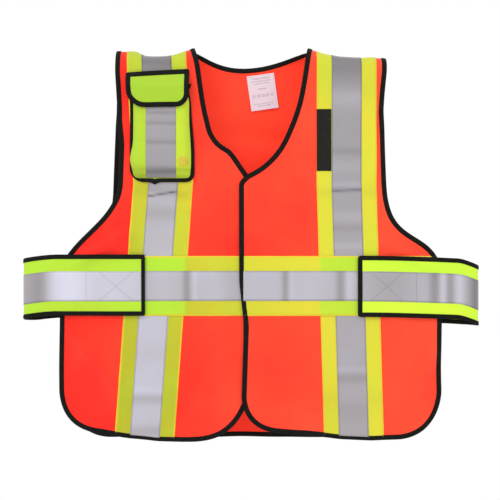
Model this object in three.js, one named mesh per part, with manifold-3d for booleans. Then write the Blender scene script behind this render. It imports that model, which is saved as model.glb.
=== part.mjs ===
// A five-point breakaway high-visibility vest, upright as on a hanger, in millimetres, +Z up.
// Right and left are the wearer's. The front faces -Y and the wearer's left is +X.
// The origin is midway between the shoulders, at the height of their crests.
//
// Every sewn piece is cut flat, in the plane (x, v), with a thickness from one layer offset to
// another, and is then bent round the garment: down the front or the back, and over the shoulder.
import * as THREE from "three";
import { mergeVertices } from "three/addons/utils/BufferGeometryUtils.js";
import Module from "manifold-3d";

const wasm = await Module();
wasm.setup();

// Overall sizes
const chestHalfWidth = 327;
const hemHeight = -672;
const halfDepth = 30;
const neckHalfWidth = 98;
const shoulderOuterX = 231;
const crestAtNeck = -3;
const crestAtArm = -14;

// Cut edges
const armholeX = 228;
const armholeHeight = -244;
const armholeSide = 141;
const backNeckDrop = -32;
const cornerRadius = 66;
const waistHeight = -408;
const shoulderLap = 40;
const backShoulderReach = 36;

// Trims
const bindingWidth = 8.5;
const bindingWall = 0.9;
const tapeWidth = 101.6;
const reflectiveWidth = 50.8;
const clearance = 0.3;
const panelThickness = 1.2;
const tapeThickness = 0.6;
const reflectiveThickness = 0.4;
const patchThickness = 0.6;

// Side straps, which fold round into tabs on the front
const strapReach = 39;
const foldReach = 24;
const tabLap = 144;
const tabHeight = 104;
const tabFabric = 0.8;
const droop = { right: 6, left: 9 };
const droopLength = 140;
const tabPatchWidth = 60;
const tabPatchHeight = 76;
const tabPatchInset = 16;

// Radio pocket on the right front
const pocketWidth = 106;
const pocketCentre = -152;
const pocketTop = -76;
const pocketBottom = -231;
const pocketDepth = 14;
const pocketWall = 1.2;
const pocketCorner = 24;
const flapTop = -43;
const flapBottom = -101;
const flapWidth = 105;
const flapOffsetX = -8;
const flapCorner = 18;
const flapKneeDrop = 30;
const pocketPatchHeight = 12;
const pocketPatchWidth = 60;

// Front opening
const dipDepth = 5.2;
const dipStart = -60;
const dipEnd = -24;
const foldGap = 0.3;
const closureWidth = 20;
const closureTop = -250;
const closureBottom = -575;
const closureFromWaist = 8;

// Chest strip and care label
const stripWidth = 24.6;
const stripTop = -108;
const stripHeight = 105;
const stripThickness = 1.2;
const labelWidth = 48;
const labelHeight = 65;
const labelCentre = [20.6, -69.8];
const labelTilt = THREE.MathUtils.degToRad(8);

// Cutting shapes run past what they cut by the overrun, and reach above every shoulder.
const overrun = 50;
const aboveAll = 300;
const throughAll = [-20, 60];

// Layer offsets, outwards from the inner face of the back panel or the front
const strapX = chestHalfWidth + strapReach;
const stack = (base, ...thicknesses) => {
  const layers = [];
  for (const thickness of thicknesses) {
    layers.push([base, base + thickness]);
    base += thickness + clearance;
  }
  return layers;
};
const [backPanel, backTape, backReflective, backWaist, backWaistReflective] = stack(
  0, panelThickness, tapeThickness, reflectiveThickness, tapeThickness, reflectiveThickness);
const backLoop = backTape;
const frontBase = backPanel[1] + bindingWall * 2 + clearance;
const [frontPanel, frontTape, frontReflective, frontWaist, frontWaistReflective, waistLoop,
  tabHook, tabLayer, tabReflective] = stack(
  frontBase, panelThickness, tapeThickness, reflectiveThickness, tapeThickness,
  reflectiveThickness, patchThickness, patchThickness, tabFabric, reflectiveThickness);
const flyWaist = frontTape;
const flyWaistReflective = frontReflective;
const lapHook = [frontPanel[0] - clearance - patchThickness, frontPanel[0] - clearance];
const pouchBase = frontReflective[1] + clearance;
const [pouchLayer, pouchReflective, pouchPatch, flapPatch, flapLayer] = stack(
  pouchBase, pocketDepth, reflectiveThickness, patchThickness, patchThickness, tabFabric);
const flapRise = flapLayer[0] - pouchBase - bindingWall;

const bindingOf = (layer) => [layer[0] - bindingWall, layer[1] + bindingWall];
const closureRight = [bindingOf(frontPanel)[1] + clearance,
  bindingOf(frontPanel)[1] + clearance + patchThickness];
const closureLeft = [bindingOf(frontPanel)[0] - clearance - patchThickness,
  bindingOf(frontPanel)[0] - clearance];

// The bend. Depth, shoulder height and droop run straight between the stations.
const strapToPlanEnd = 13;
const widthRound = strapX + strapToPlanEnd;
const stations = [neckHalfWidth, shoulderOuterX, (shoulderOuterX + chestHalfWidth) / 2,
  chestHalfWidth + 3, strapX];
const archSteps = 6;
const archLength = Math.PI * halfDepth;

function between(x, values) {
  const distance = THREE.MathUtils.clamp(Math.abs(x), stations[0], strapX);
  let i = 1;
  while (i < stations.length - 1 && distance > stations[i]) i += 1;
  const share = (distance - stations[i - 1]) / (stations[i] - stations[i - 1]);
  return values[i - 1] + share * (values[i] - values[i - 1]);
}

const depths = stations.map((x) => halfDepth * Math.cbrt(1 - (x / widthRound) ** 3));
const starts = stations.map((x) => {
  const share = THREE.MathUtils.clamp(
    (x - neckHalfWidth) / (shoulderOuterX - neckHalfWidth), 0, 1);
  return crestAtNeck + share * (crestAtArm - crestAtNeck) - halfDepth;
});
const droops = stations.map((x) =>
  Math.max(0, (x - (strapX + foldReach - droopLength)) / droopLength) ** 2);
const depthAt = (x) => between(x, depths);
const startAt = (x) => between(x, starts);
const droopAt = (x) => between(x, droops) * (x < 0 ? droop.right : droop.left);

// side is -1 on the front and 1 on the back; w is the height above the foot of the shoulder arch.
function bent([x, w, offset], side) {
  const depth = depthAt(x) + offset;
  if (w <= 0) return [x, side * depth, startAt(x) + w];
  const along = (w / archLength) * archSteps;
  if (along >= archSteps) return [x, -side * depth, startAt(x) - (w - archLength)];
  const step = Math.floor(along);
  const corner = (k) => {
    const angle = (Math.PI * k) / archSteps;
    return [Math.cos(angle) * depth, Math.sin(angle) * (halfDepth + offset)];
  };
  const [y0, z0] = corner(step);
  const [y1, z1] = corner(step + 1);
  const share = along - step;
  return [x, side * (y0 + share * (y1 - y0)), startAt(x) + z0 + share * (z1 - z0)];
}

// Cuts every triangle where height(vertex) passes a level, so that the bend can follow it.
function sliced(vertices, triangles, height, levels) {
  for (const level of levels) {
    const cuts = new Map();
    const cut = (a, b) => {
      const [p, q] = a < b ? [a, b] : [b, a];
      const key = `${p} ${q}`;
      if (!cuts.has(key)) {
        const from = height(vertices[p]);
        const share = (level - from) / (height(vertices[q]) - from);
        vertices.push(vertices[p].map((value, k) => value + share * (vertices[q][k] - value)));
        cuts.set(key, vertices.length - 1);
      }
      return cuts.get(key);
    };
    const sideOf = (i) => {
      const above = height(vertices[i]) - level;
      return Math.abs(above) < 1e-3 ? 0 : Math.sign(above);
    };
    triangles = triangles.flatMap((triangle) => {
      const sides = triangle.map(sideOf);
      if (!sides.includes(1) || !sides.includes(-1)) return [triangle];
      const lone = sides.includes(0)
        ? sides.indexOf(0)
        : sides.findIndex((s) => sides.filter((other) => other === s).length === 1);
      const [a, b, c] = [0, 1, 2].map((k) => triangle[(lone + k) % 3]);
      if (sides.includes(0)) {
        const middle = cut(b, c);
        return [[a, b, middle], [a, middle, c]];
      }
      const first = cut(a, b);
      const second = cut(a, c);
      return [[a, first, second], [first, b, c], [first, c, second]];
    });
  }
  return triangles;
}

// Flat outlines, anticlockwise lists of Vector2
const curveSteps = 4;

function outlined(start, draw) {
  const path = new THREE.Path();
  path.moveTo(...start);
  draw(path);
  const points = path.getPoints(curveSteps);
  return points.filter((point, i) => point.distanceTo(points[(i + 1) % points.length]) > 0.01);
}

function rectangle(x0, x1, v0, v1) {
  return [[x0, v0], [x1, v0], [x1, v1], [x0, v1]].map(([x, v]) => new THREE.Vector2(x, v));
}

function rounded(x0, x1, v0, v1, radius, v2 = v1) {
  return outlined([x0, v1], (path) => {
    path.lineTo(x0, v0 + radius);
    path.quadraticCurveTo(x0, v0, x0 + radius, v0);
    path.lineTo(x1 - radius, v0);
    path.quadraticCurveTo(x1, v0, x1, v0 + radius);
    path.lineTo(x1, v2);
  });
}

const mirrored = (points) => points.map((p) => new THREE.Vector2(-p.x, p.y)).reverse();

// Moves each edge of an outline outwards by a distance, or inwards when it is negative.
function grown(points, distance) {
  const count = points.length;
  return points.map((point, i) => {
    const before = point.clone().sub(points[(i + count - 1) % count]).normalize();
    const after = points[(i + 1) % count].clone().sub(point).normalize();
    const normal = new THREE.Vector2(before.y + after.y, -before.x - after.x);
    return point.clone().addScaledVector(normal, (2 * distance) / normal.lengthSq());
  });
}

// Flat solids
function prism(points, [inner, outer]) {
  const geometry = new THREE.ExtrudeGeometry(new THREE.Shape(points), {
    depth: outer - inner, bevelEnabled: false });
  geometry.translate(0, 0, inner);
  geometry.deleteAttribute("normal");
  geometry.deleteAttribute("uv");
  const merged = mergeVertices(geometry, 1e-4);
  return new wasm.Manifold(new wasm.Mesh({
    numProp: 3,
    vertProperties: merged.attributes.position.array,
    triVerts: new Uint32Array(merged.index.array),
  }));
}

const insideBinding = (points) => grown(points, -bindingWidth - clearance);
const cutCloth = (points, layer) => prism(grown(points, -2 * bindingWall), layer);

// A folded strip round the cut edge: a ring as wide as the binding, with a slot for the cloth.
function bindingRing(points, layer) {
  const ring = prism(points, bindingOf(layer));
  const window = prism(grown(points, -bindingWidth),
    [layer[0] - 2 * bindingWall, layer[1] + 2 * bindingWall]);
  const slot = prism(grown(points, -bindingWall),
    [layer[0] - clearance, layer[1] + clearance]);
  return ring.subtract(window).subtract(slot);
}

// Materials
const surface = (color, roughness, metalness = 0) =>
  new THREE.MeshStandardMaterial({ color, roughness, metalness });
const orangeKnit = surface(0xff4a30, 0.85);
const limeTape = surface(0xd8e63a, 0.8);
const silverTape = surface(0xb4b2b8, 0.4, 0.3);
const blackBinding = surface(0x1e201c, 0.9);
const hookAndLoop = surface(0x26241f, 1);
const labelSatin = surface(0xf0e6f0, 0.6);

const vest = new THREE.Group();

const plain = { warp: (vertex) => vertex, xLevels: [], vLevels: [] };

function add(group, name, solid, material, side, change = {}) {
  const { warp, xLevels, vLevels } = { ...plain, ...change };
  const flat = solid.getMesh();
  const vertices = [];
  for (let i = 0; i < flat.vertProperties.length; i += flat.numProp) {
    vertices.push([...flat.vertProperties.slice(i, i + 3)]);
  }
  let triangles = [];
  for (let i = 0; i < flat.triVerts.length; i += 3) {
    triangles.push([...flat.triVerts.slice(i, i + 3)]);
  }
  const bends = [...stations, ...stations.map((x) => -x), ...xLevels];
  triangles = sliced(vertices, triangles, (vertex) => vertex[0], bends);
  triangles = sliced(vertices, triangles, (vertex) => vertex[1], vLevels);
  const raised = vertices.map(warp).map(([x, v, offset]) => [x, v - startAt(x), offset]);
  const rows = Array.from({ length: archSteps + 1 }, (_, k) => (k * archLength) / archSteps);
  triangles = sliced(raised, triangles, (vertex) => vertex[1], rows);
  if (side > 0) triangles = triangles.map(([a, b, c]) => [a, c, b]);
  const geometry = new THREE.BufferGeometry();
  const positions = raised.flatMap((vertex) => bent(vertex, side));
  geometry.setAttribute("position", new THREE.Float32BufferAttribute(positions, 3));
  geometry.setIndex(triangles.flat());
  geometry.computeVertexNormals();
  const mesh = new THREE.Mesh(geometry, material);
  mesh.name = name;
  group.add(mesh);
}

// Outlines of the body panels
function armhole(path) {
  const sideX = chestHalfWidth - 2;
  path.bezierCurveTo(sideX - 11, armholeHeight - 65, armholeX + 5, armholeHeight - 97,
    armholeX + 4, armholeHeight);
  path.lineTo(armholeX - 1, armholeHeight + 134);
  path.lineTo(shoulderOuterX, startAt(shoulderOuterX));
}

const backEnd = (x) => startAt(x) + backShoulderReach;
const lapEnd = (x) => startAt(x) + archLength + shoulderLap;

function backOutline() {
  const half = (path) => {
    path.quadraticCurveTo(chestHalfWidth, hemHeight + 5, chestHalfWidth,
      hemHeight + cornerRadius);
    path.lineTo(chestHalfWidth - 2, armholeHeight - armholeSide);
    armhole(path);
    path.lineTo(shoulderOuterX, backEnd(shoulderOuterX));
    path.lineTo(neckHalfWidth, backEnd(neckHalfWidth));
    path.bezierCurveTo(neckHalfWidth - 16, backNeckDrop + 22, neckHalfWidth - 46,
      backNeckDrop, 0, backNeckDrop);
  };
  const right = outlined([0, hemHeight + 5], (path) => {
    path.lineTo(chestHalfWidth - cornerRadius, hemHeight + 5);
    half(path);
  });
  const left = mirrored(right).filter((p) => Math.abs(p.x) > 0.01);
  return [...right, ...left];
}

// tape is the centre of the vertical tape at the shoulder, the chest and the hem. The fold line of
// the fly is set inboard of the tape's inner edge: foldTop is how far, and at what height it starts,
// and foldFoot how far at the hem.
const frontShapes = {
  right: {
    neckEnd: [-8, -236],
    edge: [[-8, hemHeight + 152]],
    corner: [-4, hemHeight + 67, 32, hemHeight - 4, 103, hemHeight - 4.5],
    hem: [[160, hemHeight - 3], [205, hemHeight + 1], [chestHalfWidth - 69, hemHeight + 7]],
    tape: [-162, -149, -181],
    foldTop: [31.7, -140],
    foldFoot: 14.2,
  },
  left: {
    neckEnd: [-8, -219],
    edge: [[-19, -232], [-20, waistHeight + 8], [-14, waistHeight - 67], [-17, hemHeight + 72]],
    corner: [-14, hemHeight + 40, 5, hemHeight + 17, 40, hemHeight + 16],
    hem: [[93, hemHeight + 12], [150, hemHeight + 4], [205, hemHeight - 1],
      [chestHalfWidth - 72, hemHeight + 1]],
    tape: [162.5, 162, 175],
    foldTop: [11.1, -46],
    foldFoot: 8.7,
  },
};

function frontOutline({ neckEnd, edge, corner, hem }) {
  return outlined([neckHalfWidth, lapEnd(neckHalfWidth)], (path) => {
    path.lineTo(neckHalfWidth, startAt(neckHalfWidth) + archLength / 2);
    path.bezierCurveTo(91, -42, 83, -95, 71, -130);
    path.bezierCurveTo(60, -160, 32, -195, ...neckEnd);
    for (const point of edge) path.lineTo(...point);
    path.bezierCurveTo(...corner);
    for (const point of hem) path.lineTo(...point);
    path.bezierCurveTo(chestHalfWidth - 28, hemHeight + 9, chestHalfWidth - 2, hemHeight + 30,
      chestHalfWidth, hemHeight + 72);
    path.lineTo(chestHalfWidth - 2, armholeHeight - armholeSide);
    armhole(path);
    path.lineTo(shoulderOuterX, lapEnd(shoulderOuterX));
  });
}

// A strip of a given width along centre points that run upwards
function ribbon(centres, width) {
  const half = width / 2;
  const rightEdge = centres.map(([x, v]) => new THREE.Vector2(x + half, v));
  const leftEdge = centres.map(([x, v]) => new THREE.Vector2(x - half, v));
  return [...rightEdge, ...leftEdge.reverse()];
}

const band = (width) => rectangle(-strapX, strapX, waistHeight - width / 2,
  waistHeight + width / 2);
const shoulderPatch = (sign, foot, top) => {
  const inset = bindingWidth + 5;
  const corners = [[neckHalfWidth + inset, foot], [shoulderOuterX - inset, foot],
    [shoulderOuterX - inset, top], [neckHalfWidth + inset, top]];
  const points = corners.map(([x, rise]) => new THREE.Vector2(x, startAt(x) + rise));
  return sign > 0 ? points : mirrored(points);
};
const patchFoot = -shoulderLap + bindingWidth + 4;
const patchTop = backShoulderReach - bindingWidth - 2;

function drooped([x, v, offset]) {
  return [x, v - droopAt(x), offset];
}

function makeBack() {
  const group = new THREE.Group();
  const outline = backOutline();
  const inside = insideBinding(outline);
  add(group, "back_panel", cutCloth(outline, backPanel), orangeKnit, 1);

  // The edge binding is sewn on as four lengths: neck, two armholes, and sides with hem.
  const ring = bindingRing(outline, backPanel);
  const far = chestHalfWidth + overrun;
  const shoulderFoot = armholeHeight - armholeSide;
  const neckCut = rectangle(-neckHalfWidth - bindingWidth - 2, neckHalfWidth + bindingWidth + 2,
    backNeckDrop - overrun, aboveAll);
  add(group, "back_neck_binding", ring.intersect(prism(neckCut, throughAll)), blackBinding, 1);
  const armCut = rectangle(neckHalfWidth + bindingWidth + 2 + clearance, far, shoulderFoot,
    aboveAll);
  add(group, "back_armhole_binding_left", ring.intersect(prism(armCut, throughAll)),
    blackBinding, 1);
  add(group, "back_armhole_binding_right", ring.intersect(prism(mirrored(armCut), throughAll)),
    blackBinding, 1);
  const hemCut = rectangle(-far, far, hemHeight - overrun, shoulderFoot - clearance);
  add(group, "back_hem_binding", ring.intersect(prism(hemCut, throughAll)), blackBinding, 1);

  const shoulderX = (neckHalfWidth + shoulderOuterX) / 2;
  for (const [name, sign] of [["left", 1], ["right", -1]]) {
    const centre = sign * shoulderX;
    const tapeTop = startAt(shoulderOuterX) + patchFoot;
    const tape = ribbon([[centre, hemHeight - overrun], [centre, tapeTop]], tapeWidth);
    add(group, `back_vertical_tape_${name}`,
      prism(tape, backTape).intersect(prism(inside, backTape)), limeTape, 1);
    const silverTop = startAt(shoulderOuterX) - shoulderLap;
    const silver = ribbon([[centre, hemHeight - overrun], [centre, silverTop]],
      reflectiveWidth);
    add(group, `back_vertical_reflective_${name}`,
      prism(silver, backReflective).intersect(prism(inside, backReflective)), silverTape, 1);
    add(group, `shoulder_loop_patch_${name}`,
      prism(shoulderPatch(sign, patchFoot, patchTop), backLoop), hookAndLoop, 1);
  }

  add(group, "back_waist_tape", prism(band(tapeWidth), backWaist), limeTape, 1,
    { warp: drooped });
  add(group, "back_waist_reflective", prism(band(reflectiveWidth), backWaistReflective),
    silverTape, 1, { warp: drooped });

  const label = rectangle(-labelWidth / 2, labelWidth / 2, -labelHeight / 2, labelHeight / 2);
  const centre = new THREE.Vector2(...labelCentre);
  const tilted = label.map((p) => p.rotateAround(new THREE.Vector2(), labelTilt).add(centre));
  const labelFace = -bindingWall - clearance;
  add(group, "care_label", prism(tilted, [labelFace - tapeThickness, labelFace]), labelSatin, 1);
  return group;
}

// The strap's turn: half an ellipse in plan, from the back strap round to the tab.
function makeStrapFold(name, sign) {
  const backY = depthAt(strapX) + (backWaist[0] + backWaist[1]) / 2;
  const frontY = -depthAt(strapX) - (tabLayer[0] + tabLayer[1]) / 2;
  const middle = (backY + frontY) / 2;
  const reach = (backY - frontY) / 2;
  const half = tapeThickness / 2;
  const steps = 12;
  const section = new THREE.Shape();
  for (const [grow, from, to] of [[half, 0, steps], [-half, steps, 0]]) {
    for (let k = from; from < to ? k <= to : k >= to; k += from < to ? 1 : -1) {
      const angle = -Math.PI / 2 + (Math.PI * k) / steps;
      const x = strapX + clearance + (foldReach - clearance - half + grow) * Math.cos(angle);
      const y = middle + (reach + grow) * Math.sin(angle);
      if (k === from && grow > 0) section.moveTo(sign * x, y);
      else section.lineTo(sign * x, y);
    }
  }
  const geometry = new THREE.ExtrudeGeometry(section, { depth: tapeWidth, bevelEnabled: false });
  const drop = sign > 0 ? droop.left : droop.right;
  const position = geometry.getAttribute("position");
  for (let i = 0; i < position.count; i += 1) {
    const beyond = Math.abs(position.getX(i)) - strapX;
    const share = droops.at(-1) + (1 - droops.at(-1)) * (beyond / foldReach);
    position.setZ(i, position.getZ(i) - drop * share);
  }
  geometry.translate(0, 0, waistHeight - tapeWidth / 2);
  const mesh = new THREE.Mesh(geometry, limeTape);
  mesh.name = name;
  return mesh;
}

function makeFront(name) {
  const group = new THREE.Group();
  const sign = name === "left" ? 1 : -1;
  const shape = frontShapes[name];
  const mirror = (points) => (sign > 0 ? points : mirrored(points));
  const outline = mirror(frontOutline(shape));
  const inside = insideBinding(outline);
  const dipped = ([x, v, offset]) => {
    const share = THREE.MathUtils.clamp((x - dipStart) / (dipEnd - dipStart), 0, 1);
    return [x, v, offset - (sign < 0 ? share * dipDepth : 0)];
  };
  const change = { warp: dipped, xLevels: sign < 0 ? [dipStart, dipEnd] : [] };
  const put = (part, solid, material) =>
    add(group, `${part}_${name}`, solid, material, -1, change);

  // The fold line of the front fly, and the two sides of the cut along it
  const [topX, chestX, hemX] = shape.tape;
  const tapeEdge = (centre) => Math.abs(centre) - tapeWidth / 2;
  const [foldInset, foldV] = shape.foldTop;
  const foldX = tapeEdge(topX) - foldInset;
  const hemFoldX = tapeEdge(hemX) - shape.foldFoot;
  const footV = hemHeight - overrun;
  const footX = hemFoldX - ((hemFoldX - foldX) / (hemHeight - foldV)) * overrun;
  const flyCut = mirror([[-chestHalfWidth, foldV - foldGap], [-chestHalfWidth, footV],
    [footX - foldGap, footV], [foldX - foldGap, foldV - foldGap]]
    .map(([x, v]) => new THREE.Vector2(x, v)));
  const fixedCut = mirror([[-chestHalfWidth, foldV + foldGap], [foldX + foldGap, foldV + foldGap],
    [footX + foldGap, footV], [strapX + overrun, footV], [strapX + overrun, aboveAll],
    [-chestHalfWidth, aboveAll]]
    .map(([x, v]) => new THREE.Vector2(x, v)));
  const onFly = (solid) => solid.intersect(prism(flyCut, throughAll));
  const onFixed = (solid) => solid.intersect(prism(fixedCut, throughAll));

  const cloth = cutCloth(outline, frontPanel);
  const binding = bindingRing(outline, frontPanel);
  put("front_panel", onFixed(cloth), orangeKnit);
  put("front_binding", onFixed(binding), blackBinding);
  put("fly_panel", onFly(cloth), orangeKnit);
  put("fly_binding", onFly(binding), blackBinding);

  const centres = [[hemX, hemHeight], [chestX, armholeHeight + 12], [topX, 0], [topX, aboveAll]];
  const trimmed = (points, layer) => prism(points, layer).intersect(prism(inside, layer));
  put("front_vertical_tape", trimmed(ribbon(centres, tapeWidth), frontTape), limeTape);
  put("front_vertical_reflective", trimmed(ribbon(centres, reflectiveWidth), frontReflective),
    silverTape);
  put("front_waist_tape", onFixed(trimmed(band(tapeWidth), frontWaist)), limeTape);
  put("front_waist_reflective",
    onFixed(trimmed(band(reflectiveWidth), frontWaistReflective)), silverTape);
  put("fly_waist_tape", onFly(trimmed(band(tapeWidth), flyWaist)), limeTape);
  put("fly_waist_reflective",
    onFly(trimmed(band(reflectiveWidth), flyWaistReflective)), silverTape);

  put("shoulder_hook_patch",
    prism(shoulderPatch(sign, archLength - patchTop, archLength - patchFoot), lapHook),
    hookAndLoop);
  const patchX = chestHalfWidth - tabLap + tabPatchInset;
  const waistPatch = mirror(rectangle(patchX, patchX + tabPatchWidth,
    waistHeight - tabPatchHeight / 2, waistHeight + tabPatchHeight / 2));
  put("waist_loop_patch", prism(waistPatch, waistLoop), hookAndLoop);

  // Hook and loop strips where the fronts overlap, above and below the waist tape
  const overlapEnd = frontShapes.right.edge[0][0];
  const closureX = -overlapEnd - bindingWall - closureWidth;
  const layer = name === "left" ? closureLeft : closureRight;
  const waistClear = tapeWidth / 2 + closureFromWaist;
  put("upper_closure", prism(rectangle(closureX, closureX + closureWidth,
    waistHeight + waistClear, closureTop), layer), hookAndLoop);
  put("lower_closure", prism(rectangle(closureX, closureX + closureWidth,
    closureBottom, waistHeight - waistClear), layer), hookAndLoop);
  return group;
}

// A tab: the strap's end on the front, bound on three sides
function makeTab(name) {
  const group = new THREE.Group();
  const mirror = (points) => (name === "left" ? points : mirrored(points));
  const put = (part, solid, material) =>
    add(group, `${part}_${name}`, solid, material, -1, { warp: drooped });
  const endX = chestHalfWidth - tabLap;
  const turnX = strapX - clearance;
  const half = tabHeight / 2;
  const tabShape = (inset, reach) => mirror(rectangle(endX + inset, turnX + reach,
    waistHeight - half + inset, waistHeight + half - inset));
  put("tab_fabric", prism(tabShape(2 * bindingWall, 0), tabLayer), limeTape);
  const binding = prism(tabShape(0, 0), bindingOf(tabLayer))
    .subtract(prism(tabShape(bindingWidth, 20), [tabLayer[0] - 5, tabLayer[1] + 5]))
    .subtract(prism(tabShape(bindingWall, 20), [tabLayer[0] - clearance,
      tabLayer[1] + clearance]));
  put("tab_binding", binding, blackBinding);
  const silver = mirror(rectangle(endX + bindingWidth + clearance, turnX,
    waistHeight - reflectiveWidth / 2, waistHeight + reflectiveWidth / 2));
  put("tab_reflective", prism(silver, tabReflective), silverTape);
  const patchX = endX + tabPatchInset;
  const patch = mirror(rectangle(patchX, patchX + tabPatchWidth,
    waistHeight - tabPatchHeight / 2, waistHeight + tabPatchHeight / 2));
  put("tab_hook_patch", prism(patch, tabHook), hookAndLoop);
  return group;
}

function makePocket() {
  const group = new THREE.Group();
  const put = (part, solid, material, change) =>
    add(group, part, solid, material, -1, change);
  const x0 = pocketCentre - pocketWidth / 2;
  const x1 = pocketCentre + pocketWidth / 2;
  const inset = bindingWidth + clearance;
  const shell = (by, top) => rounded(x0 + by, x1 - by, pocketBottom + by, top,
    pocketCorner - by / 2);
  const bindingLayer = [pouchBase, pouchBase + 2 * bindingWall];
  put("pouch_binding", prism(shell(0, pocketTop), bindingLayer)
    .subtract(prism(shell(bindingWidth, pocketTop + 20), [pouchBase - 5, pouchBase + 5])),
  blackBinding);
  const hollow = prism(shell(inset + pocketWall, pocketTop + 20),
    [pouchLayer[0] - 5, pouchLayer[1] - pocketWall]);
  put("radio_pouch", prism(shell(inset, pocketTop), pouchLayer).subtract(hollow), limeTape);
  const silver = rectangle(pocketCentre - reflectiveWidth / 2, pocketCentre + reflectiveWidth / 2,
    pocketBottom + inset + 2, pocketTop - 1);
  put("pouch_reflective", prism(silver, pouchReflective), silverTape);

  const patchTopV = flapBottom + bindingWidth + 2 + pocketPatchHeight;
  const flapCentre = pocketCentre + flapOffsetX;
  const patch = rectangle(flapCentre - pocketPatchWidth / 2, flapCentre + pocketPatchWidth / 2,
    patchTopV - pocketPatchHeight, patchTopV);
  put("pouch_patch", prism(patch, pouchPatch), hookAndLoop);

  const flapX0 = flapCentre - flapWidth / 2;
  const flapX1 = flapCentre + flapWidth / 2;
  const flap = rounded(flapX0, flapX1, flapBottom, flapTop - 3, flapCorner, flapTop + 3);
  const knee = flapTop - flapKneeDrop;
  const sloped = ([x, v, offset]) => {
    const share = THREE.MathUtils.clamp((v - knee) / flapKneeDrop, 0, 1);
    return [x, v, offset - flapRise * share];
  };
  const change = { warp: sloped, vLevels: [knee, flapTop] };
  put("pocket_flap_fabric", cutCloth(flap, flapLayer), limeTape, change);
  put("pocket_flap_binding", bindingRing(flap, flapLayer), blackBinding, change);
  put("pocket_flap_patch", prism(patch, flapPatch), hookAndLoop, change);
  return group;
}

// A flat loop strip beside the reflective tape on the left chest
function makeChestStrip() {
  const right = frontShapes.left.tape[1] - reflectiveWidth / 2 - 2 * clearance;
  const centre = right - stripWidth / 2;
  const nearest = depthAt(centre - stripWidth / 2) + frontTape[1] + clearance;
  const geometry = new THREE.BoxGeometry(stripWidth, stripThickness, stripHeight);
  const mesh = new THREE.Mesh(geometry, hookAndLoop);
  mesh.name = "chest_strip";
  mesh.position.set(centre, -nearest - stripThickness / 2, stripTop - stripHeight / 2);
  return mesh;
}

vest.add(makeBack());
vest.add(makeStrapFold("strap_fold_left", 1), makeStrapFold("strap_fold_right", -1));
vest.add(makeFront("right"), makeFront("left"));
vest.add(makeTab("right"), makeTab("left"));
vest.add(makePocket());
vest.add(makeChestStrip());

export default vest;
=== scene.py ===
import math

import bpy
import numpy as np
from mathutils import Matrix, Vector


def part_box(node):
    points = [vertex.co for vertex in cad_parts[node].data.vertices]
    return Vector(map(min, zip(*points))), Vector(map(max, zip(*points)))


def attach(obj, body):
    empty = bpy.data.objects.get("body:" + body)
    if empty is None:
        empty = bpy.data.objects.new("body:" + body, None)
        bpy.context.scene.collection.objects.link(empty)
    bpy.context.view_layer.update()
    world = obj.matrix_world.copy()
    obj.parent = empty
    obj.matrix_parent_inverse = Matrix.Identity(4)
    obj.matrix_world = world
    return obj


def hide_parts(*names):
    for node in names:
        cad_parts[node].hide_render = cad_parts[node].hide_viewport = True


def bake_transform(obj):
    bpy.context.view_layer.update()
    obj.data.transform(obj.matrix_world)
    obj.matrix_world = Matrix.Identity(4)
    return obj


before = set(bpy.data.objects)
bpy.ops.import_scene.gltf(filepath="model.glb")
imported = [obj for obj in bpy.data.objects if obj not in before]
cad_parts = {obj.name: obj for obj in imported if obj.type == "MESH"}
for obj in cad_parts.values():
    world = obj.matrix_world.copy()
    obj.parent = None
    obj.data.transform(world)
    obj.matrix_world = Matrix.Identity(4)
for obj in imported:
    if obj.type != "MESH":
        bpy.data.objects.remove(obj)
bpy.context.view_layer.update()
print("frame loaded:", len(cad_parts), "nodes")

# Everything sewn is drawn flat, as (x, v) with an offset outwards, and then carried
# down the front or the back and over the shoulder by one mapping, wrapped().
# face is -1 on the front and 1 on the back. Lengths are metres.


# sizes taken from the frame

def low(node):
    return np.array(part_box(node)[0])


def high(node):
    return np.array(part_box(node)[1])


def middle(node):
    return (low(node) + high(node)) / 2


garment = dict(
    clothWall=0.0012,
    bindingWall=0.0009,
    bindingWidth=0.0085,
    crestAtNeck=-0.003,
    crestAtArm=-0.014,
    neckX=0.098,
    armX=0.231,
    lapBelow=0.040,       # how far the front's shoulder end reaches down the back
    backReach=0.036,      # how far the back's shoulder end climbs
    armholeZ=-0.244,
    armholeSide=0.141,
    backNeck=-0.0305,
    strapToPlanEnd=0.013,
)
halfDepth = high("back_panel")[1] - garment["clothWall"]
chestX = high("back_hem_binding")[0]
hemZ = low("back_hem_binding")[2] - 0.005
strapX = high("back_waist_tape")[0]
turnX = high("strap_fold_left")[0]
waistZ = middle("front_waist_tape_left")[2]
tapeWide = high("front_waist_tape_left")[2] - low("front_waist_tape_left")[2]
silverWide = high("front_waist_reflective_left")[2] - low("front_waist_reflective_left")[2]
planEnd = strapX + garment["strapToPlanEnd"]
archLength = math.pi * halfDepth

# layer offsets of the pieces, outwards from the body panels' inner faces
layers = dict(
    backCloth=0.0, backTape=0.0015, backSilver=0.0024, backWaist=0.0031, backWaistSilver=0.0040,
    frontCloth=0.0033, frontTape=0.0048, frontSilver=0.0057, frontWaist=0.0048,
    frontWaistSilver=0.0057, overTape=0.0016, waistLoop=0.0080, tab=0.0098,
    pouch=0.0064, flap=0.0232, flapPatch=0.0223, pouchPatch=0.0214,
    lapHook=0.0024, closureRight=0.0057, closureLeft=0.0015, label=-0.0018,
)


# number helpers

def smooth(t):
    # The smoothstep 3t^2 - 2t^3 of t held between 0 and 1.
    t = np.clip(t, 0.0, 1.0)
    return t * t * (3 - 2 * t)


def bump(t, centre, width):
    # A bell exp(-((t - centre) / width)^2).
    return np.exp(-((t - centre) / width) ** 2)


def startAt(x):
    # Height of the foot of the shoulder arch, straight between the neck and the arm.
    crest = np.interp(np.abs(x), [garment["neckX"], garment["armX"]],
                      [garment["crestAtNeck"], garment["crestAtArm"]])
    return crest - halfDepth


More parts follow.
